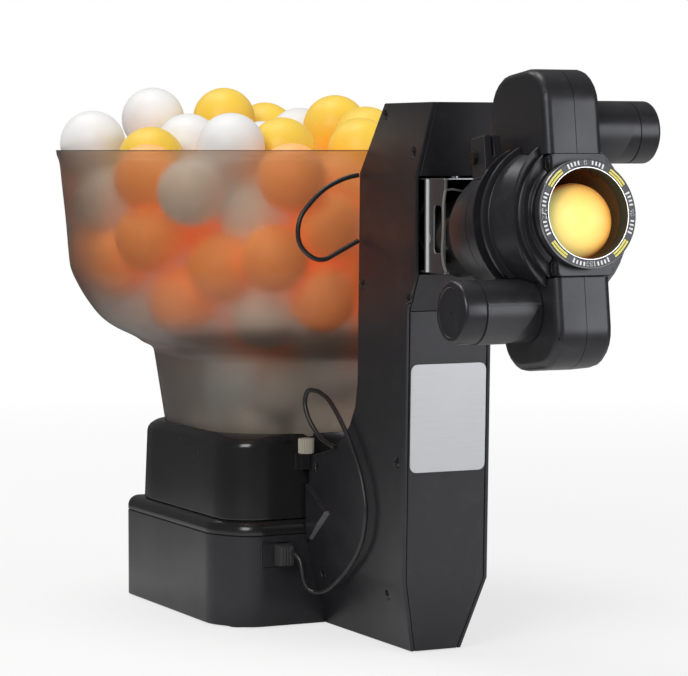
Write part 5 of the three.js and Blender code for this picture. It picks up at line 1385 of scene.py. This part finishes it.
class ROBOT_OT_screws(bpy.types.Operator):
    """Makes the cover screws of both sides, and those beside the mouth with their wells"""

    bl_idname = "robot.screws"
    bl_label = "Screws"

    def execute(self, context):
        _, sizes, _ = settings()
        black, shell = screw_finish(), shell_finish()
        x, y, height = screw_face(sizes.screw / MM / 2)
        faces = grid_faces(len(x), SCREW_SIDES)
        for side, name in SIDES:
            for index, (forward, up, node) in enumerate(SCREW_SEATS):
                grid = (on_cover(side, forward, up)(x, y, height), faces)
                piece = new_piece(f"cover_screw_{name}_{index}", [grid], black, "base", sharp=40)
                if node and side < 0:
                    stand_in(piece, node)
        x, y, height = screw_face(BLOCK_SCREW)
        for side, side_name in SIDES:
            for up, name in ((1, "upper"), (-1, "lower")):
                placed = on_block(side, up)
                grid = (placed(x, y, height * BLOCK_LOW - BLOCK_SUNK), faces)
                new_piece(f"block_screw_{name}_{side_name}", [grid], black, "head", sharp=40)
                ridge = rounded_frame(placed, BLOCK_HALF, BLOCK_TALL, WELL_CORNER, WELL_WIDTH, WELL_RISE)
                new_piece(f"block_well_{name}_{side_name}", [ridge], shell, "head", sharp=60)
        return {"FINISHED"}


# Leads and the wire, as routes of (x, forward, height)

ROUTE_STEP, LEAD_SIDES, LEAD_MERGE = 1.0 * MM, 20, 0.005 * MM
LOWER_ROUTE = [
    (-43.0, 83.0, 44.8), (-41.0, 87.6, 45.0), (-39.2, 91.2, 41.5), (-38.6, 93.4, 35.0), (-37.6, 94.8, 28.5),
    (-35.2, 96.6, 24.4), (-32, 101.5, 23.6),
    (-31, 116, 28.6), (-31, 140.3, 43.2), (-31, 155.9, 58.2), (-31, 161.6, 73.2), (-31, 161, 84.6),
    (-31, 153.2, 101.5), (-31, 135, 122.2), (-31, 116.4, 136.3), (-31.3, 104.5, 140.8), (-32, 98, 142),
    (-34.4, 92, 141.5), (-35.3, 90, 134.4), (-34.6, 94, 125.2), (-31.8, 101, 116.3), (-30.2, 110, 112.2),
    (-28.4, 116.5, 110.4),
]
UPPER_ROUTE = [
    (-28.4, 147.3, 268.8), (-36.2, 147, 267.1), (-45.7, 147, 263.2), (-53.2, 147, 258.2), (-61, 147, 250.4),
    (-65, 147, 244.2), (-66.3, 147, 236.9), (-65.1, 147, 230.1), (-61, 147, 225), (-55.1, 147, 221.5),
    (-48.8, 147, 221.4), (-41.9, 147, 224.7), (-28.4, 147, 231.5),
]
WIRE_ROUTE = [
    (-19.5, 236.5, 266.3), (-21.5, 240.0, 262.0), (-24.6, 243.5, 254.0), (-25.6, 245.5, 244.0),
    (-25.6, 245.0, 236.0), (-25.2, 243.5, 228.0), (-24.0, 243.0, 221.0), (-21.5, 240.5, 217.6),
]


def lead_piece(name, route, diameter, material, body, replaced):
    """A round lead along a route, which takes the place of an imported part where one is named."""
    x, forward, height = np.array(route, float).T
    points = smooth_route(machine_points(x, forward, height), ROUTE_STEP)
    lead = tube(points, diameter / 2, LEAD_SIDES)
    piece = new_piece(name, [lead], material, body, sharp=50, merge=LEAD_MERGE)
    stand_in(piece, replaced)
    return piece


class ROBOT_OT_leads(bpy.types.Operator):
    """Makes the two black leads, the thin motor wire, and the ribbed boot with its frame"""

    bl_idname = "robot.leads"
    bl_label = "Leads"

    def execute(self, context):
        colours, sizes, _ = settings()
        sheath = plastic("lead sheath", (0.016, 0.015, 0.015), 0.34, grain=0.0012, bump=0.1, dust=0.0)
        lead_piece("lower_lead_sheath", LOWER_ROUTE, sizes.lead, sheath, "base", "lower_lead")
        lead_piece("upper_lead_sheath", UPPER_ROUTE, sizes.lead, sheath, "base", "upper_lead")
        thin = plastic("wire sheath", (0.15, 0.145, 0.14), 0.4, grain=0.0008, dust=0.0)
        lead_piece("motor_wire", WIRE_ROUTE, sizes.wire, thin, "yoke", None)
        piece = new_piece("ribbed_boot", boot_grids(), rubber_finish(), "base", sharp=40)
        stand_in(piece, "cable_grommet")
        ridge = rounded_frame(base_face, FRAME_HALF, FRAME_TALL, FRAME_CORNER, FRAME_WIDTH, FRAME_RISE)
        new_piece("boot_panel", [ridge], feeder_finish(), "base", sharp=60)
        return {"FINISHED"}


# The lead's boot on the front of the base, and the frame round it

BOOT_ACROSS, BOOT_HEIGHT, BOOT_HALF, BOOT_TALL, BOOT_PROUD = 44.5, 43.5, 4.7, 6.4, 9.2
BOOT_RIBS, BOOT_RIB_DEPTH, BOOT_SQUARENESS, BOOT_DEEP, BOOT_COLS, BOOT_ROWS = 5, 0.45, 6, 0.5, 61, 41
FRAME_ACROSS, FRAME_HALF, FRAME_TALL, FRAME_CORNER = 47.5, 10.5, 8.0, 1.5
FRAME_WIDTH, FRAME_RISE, FRAME_SIDES, ARCH_STEPS = 0.9, 0.55, 64, 9


def boot_grids():
    """The lead's moulded boot: a rounded block that stands proud of the base, with upright ribs. Its
    front rises steeply from the edge and flattens out, and the ribs are half waves across it."""
    a, b = np.meshgrid(np.linspace(-1, 1, BOOT_COLS), np.linspace(-1, 1, BOOT_ROWS))
    fall = [np.clip(1 - np.abs(way) ** BOOT_SQUARENESS, 0, 1) for way in (a, b)]
    crown = (fall[0] * fall[1]) ** (1 / BOOT_SQUARENESS)
    rib = np.abs(np.sin((a + 1) / 2 * BOOT_RIBS * math.pi)) * BOOT_RIB_DEPTH
    forward = BASE_FRONT + crown * BOOT_PROUD + rib * crown
    x, height = a * BOOT_HALF - BOOT_ACROSS, b * BOOT_TALL + BOOT_HEIGHT
    back = machine_points(x, BASE_FRONT - BOOT_DEEP + 0 * a, height)
    return closed_sheet(machine_points(x, forward, height), back)


def rounded_frame(placed, half, tall, corner, width, rise):
    """A raised frame on a flat face: a low arch of a section carried round a rounded rectangle, with
    placed(a, b, out) giving each point on the face and out from it."""
    t = np.linspace(0, 2 * math.pi, FRAME_SIDES, endpoint=False) + math.pi / FRAME_SIDES
    a = np.sign(np.cos(t)) * (half - corner) + corner * np.cos(t)
    b = np.sign(np.sin(t)) * (tall - corner) + corner * np.sin(t)
    s = np.linspace(0, math.pi, ARCH_STEPS)[:, None]
    out, inset = np.sin(s) ** 0.5 * rise, (1 - np.cos(s)) / 2 * width
    points = placed(a - np.cos(t) * inset, b - np.sin(t) * inset, out + 0 * a)
    return points, grid_faces(len(s), len(t), wrap_rows=True)


def base_face(a, b, out):
    """Points on the base's front face round the boot's panel."""
    return machine_points(a - FRAME_ACROSS, BASE_FRONT + out, b + BOOT_HEIGHT)


# Thumb nut: radius, height, place, the number and depth of its ribs, and its profile with the share of
# the ribs' depth at each corner

NUT_RADIUS, NUT_HEIGHT, NUT_LOW, NUT_ACROSS, NUT_FORWARD = 4.8, 9.0, 103.2, 28.8, 77.8
NUT_RIBS, NUT_RIB_DEPTH, NUT_BORE, NUT_TOP = 22, 0.5, 2.1, NUT_LOW + NUT_HEIGHT
RIB_STEPS, RIB_FLATNESS = 8, 1.6
NUT_PROFILE = [
    (NUT_BORE, NUT_LOW, 0), (NUT_RADIUS - 0.5, NUT_LOW, 0), (NUT_RADIUS, NUT_LOW + 0.5, 1),
    (NUT_RADIUS, NUT_LOW + 4, 1), (NUT_RADIUS, NUT_TOP - 0.6, 1), (NUT_RADIUS - 0.25, NUT_TOP - 0.2, 0.4),
    (NUT_RADIUS - 0.7, NUT_TOP, 0), (2.6, NUT_TOP, 0), (2.3, NUT_TOP - 0.3, 0), (0.2, NUT_TOP - 0.3, 0),
    (0.2, NUT_TOP - 1.2, 0), (NUT_BORE, NUT_TOP - 1.2, 0),
]


def nut_rows():
    """A knurled nut: its radius ripples with the angle, and the ripple fades out over the chamfers."""
    radius, height, ripple = np.array(NUT_PROFILE).T[:, :, None]
    t = np.linspace(0, 2 * math.pi, NUT_RIBS * RIB_STEPS, endpoint=False)[None]
    wave = np.clip(np.cos(t * NUT_RIBS) * RIB_FLATNESS, -1, 1)
    radius = radius + ripple * NUT_RIB_DEPTH * (wave - 1) / 2
    placed = upright_at(-NUT_ACROSS, NUT_FORWARD)
    points = placed(radius * np.cos(t), radius * np.sin(t), height + 0 * t)
    return points, grid_faces(len(NUT_PROFILE), t.shape[1], wrap_rows=True)


class ROBOT_OT_thumb_nut(bpy.types.Operator):
    """Makes the knurled thumb nut that clamps the hopper"""

    bl_idname = "robot.thumb_nut"
    bl_label = "Thumb nut"

    def execute(self, context):
        colours, _, _ = settings()
        beige = plastic("beige nut", colours.nut, 0.5, grain=0.0005, rub=0.4, dust=0.1)
        stand_in(new_piece("knurled_nut", [nut_rows()], beige, "thumb_nut", sharp=40), "thumb_nut")
        return {"FINISHED"}


# Stage: the floor's half width, the distances at which it fades, and the lamps' places and sizes

FLOOR_HALF, FLOOR_NEAR, FLOOR_FAR, TABLE_NEAR, TABLE_FAR = 60.0, 0.45, 1.6, 0.24, 0.85
KEY_PLACE, KEY_SIZE = Vector((-1.5, -1.5, 1.25)), 1.1
FILL_PLACE, FILL_SIZE = Vector((1.15, -1.75, 0.5)), 1.0
TOP_PLACE, TOP_SIZE = Vector((-0.24, 0.23, 1.88)), 0.75
REAR_PLACE, REAR_SIZE = Vector((-0.47, 1.03, 1.5)), 0.4
WHITE_LIGHT = (1, 1, 1, 1)
AIM, FILL_COLOUR, CLIP = Vector((0.0, 0.0, 0.17)), (0.92, 0.94, 1.0), (0.01, 200)
FLOOR_FADED, FLOOR_ROUGH, FLOOR_GLOSS, PAST_TABLE = 0.7, 0.9, 0.1, 0.08


def lamp(name, place, size, power, colour=(1, 1, 1)):
    """A square soft lamp that looks at the machine's middle."""
    data = bpy.data.lights.new(name, "AREA")
    data.shape, data.size, data.energy, data.color = "SQUARE", size, power, colour
    made = bpy.data.objects.new(name, data)
    made.location = place
    made.rotation_mode = "QUATERNION"
    made.rotation_quaternion = (AIM - place).to_track_quat("-Z", "Y")
    bpy.context.scene.collection.objects.link(made)


def floor_material(stage):
    """A plain pale floor that fades into the white background for the camera but keeps the shadow. In
    glossy surfaces it ends like a table in a dim room."""
    material = bpy.data.materials.new("floor")
    material.use_nodes = True
    tree = material.node_tree
    tree.nodes.clear()
    matt = put(tree, "ShaderNodeBsdfPrincipled", {
        "Base Color": (*stage.floor, 1), "Roughness": FLOOR_ROUGH, "Specular IOR Level": FLOOR_GLOSS})
    white = put(tree, "ShaderNodeEmission", {"Color": WHITE_LIGHT, "Strength": 1.0})
    path = put(tree, "ShaderNodeLightPath").outputs
    where = object_place(tree)
    far = put(tree, "ShaderNodeVectorMath", {0: where}, operation="LENGTH").outputs["Value"]
    fade = spread(tree, far, FLOOR_NEAR, FLOOR_FAR, FLOOR_FADED, 1.0)
    part = product(tree, path["Is Camera Ray"], fade if stage.seamless else 0.0)
    mixed = put(tree, "ShaderNodeMixShader", {0: part, 1: matt.outputs[0], 2: white.outputs[0]})
    edge = product(tree, path["Is Glossy Ray"], spread(tree, far, TABLE_NEAR, TABLE_FAR, 0.0, 1.0))
    dark = put(tree, "ShaderNodeEmission", {"Color": WHITE_LIGHT, "Strength": PAST_TABLE})
    mixed = put(tree, "ShaderNodeMixShader", {0: edge, 1: mixed.outputs[0], 2: dark.outputs[0]})
    put(tree, "ShaderNodeOutputMaterial", {"Surface": mixed.outputs[0]})
    return material


def world_light(stage):
    """Even light from all round, plain white where the camera or glass looks past the machine, and the
    stage's own strength where gloss does."""
    world = bpy.data.worlds.new("studio")
    bpy.context.scene.world = world
    world.use_nodes = True
    tree = world.node_tree
    tree.nodes.clear()
    path = put(tree, "ShaderNodeLightPath")
    seen = calculated(tree, "MAXIMUM", path.outputs["Is Camera Ray"], path.outputs["Is Transmission Ray"])
    strength = spread(tree, path.outputs["Is Glossy Ray"], 0.0, 1.0, stage.world, stage.gloss)
    strength = calculated(tree, "MAXIMUM", seen, strength)
    back = put(tree, "ShaderNodeBackground", {"Color": WHITE_LIGHT, "Strength": strength})
    put(tree, "ShaderNodeOutputWorld", {"Surface": back.outputs[0]})


def set_camera(stage):
    """The camera at the photograph's view."""
    data = bpy.data.cameras.new("camera")
    data.sensor_width, data.lens = SENSOR, stage.lens / MM
    data.clip_start, data.clip_end = CLIP
    camera = bpy.data.objects.new("camera", data)
    ahead, right, up = camera_axes()
    turn = Matrix((right, up, -ahead)).transposed().to_4x4()
    camera.matrix_world = Matrix.Translation(CAMERA_PLACE) @ turn
    bpy.context.scene.collection.objects.link(camera)
    bpy.context.scene.camera = camera


def lay_floor(stage):
    """A wide square floor under the machine."""
    mesh = bpy.data.meshes.new("floor")
    corners = [(x * FLOOR_HALF, y * FLOOR_HALF, 0) for x, y in ((-1, -1), (1, -1), (1, 1), (-1, 1))]
    mesh.from_pydata(corners, [], [range(len(corners))])
    mesh.materials.append(floor_material(stage))
    floor = bpy.data.objects.new("floor", mesh)
    bpy.context.scene.collection.objects.link(floor)


class ROBOT_OT_stage(bpy.types.Operator):
    """Sets up the camera at the photograph's view, the soft lamps, the white world and the pale floor"""

    bl_idname = "robot.stage"
    bl_label = "Stage"

    def execute(self, context):
        _, _, stage = settings()
        set_camera(stage)
        context.scene.view_settings.view_transform = "Standard"
        world_light(stage)
        lamp("key lamp", KEY_PLACE, KEY_SIZE, stage.key)
        lamp("fill lamp", FILL_PLACE, FILL_SIZE, stage.fill, FILL_COLOUR)
        lamp("top lamp", TOP_PLACE, TOP_SIZE, stage.top)
        lamp("rear lamp", REAR_PLACE, REAR_SIZE, stage.rear)
        lay_floor(stage)
        return {"FINISHED"}


class ROBOT_PT_panel(bpy.types.Panel):
    """Lists the settings and the pieces of the machine"""

    bl_idname = "ROBOT_PT_panel"
    bl_label = "Table tennis robot"
    bl_space_type = "VIEW_3D"
    bl_region_type = "UI"
    bl_category = "Robot"

    def draw(self, context):
        layout = self.layout
        for group in settings():
            box = layout.box()
            for name in group.__annotations__:
                box.prop(group, name)
        for operator in OPERATORS:
            layout.operator(operator.bl_idname)


OPERATORS = (
    ROBOT_OT_stage, ROBOT_OT_leads, ROBOT_OT_shells, ROBOT_OT_workings, ROBOT_OT_base, ROBOT_OT_hopper,
    ROBOT_OT_balls, ROBOT_OT_dial, ROBOT_OT_motor_covers, ROBOT_OT_screws, ROBOT_OT_thumb_nut,
)
CLASSES = (RobotColours, RobotSizes, RobotStage, *OPERATORS, ROBOT_PT_panel)


def register():
    """Registers the classes and hangs the settings on the scene."""
    for made in CLASSES:
        bpy.utils.register_class(made)
    bpy.types.Scene.robot_colours = PointerProperty(type=RobotColours)
    bpy.types.Scene.robot_sizes = PointerProperty(type=RobotSizes)
    bpy.types.Scene.robot_stage = PointerProperty(type=RobotStage)


def unregister():
    """Takes the settings and classes away again."""
    del bpy.types.Scene.robot_colours, bpy.types.Scene.robot_sizes, bpy.types.Scene.robot_stage
    for made in reversed(CLASSES):
        bpy.utils.unregister_class(made)


def main():
    """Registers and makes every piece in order."""
    register()
    for operator in OPERATORS:
        area, name = operator.bl_idname.split(".")
        getattr(getattr(bpy.ops, area), name)()


if __name__ == "__main__":
    main()
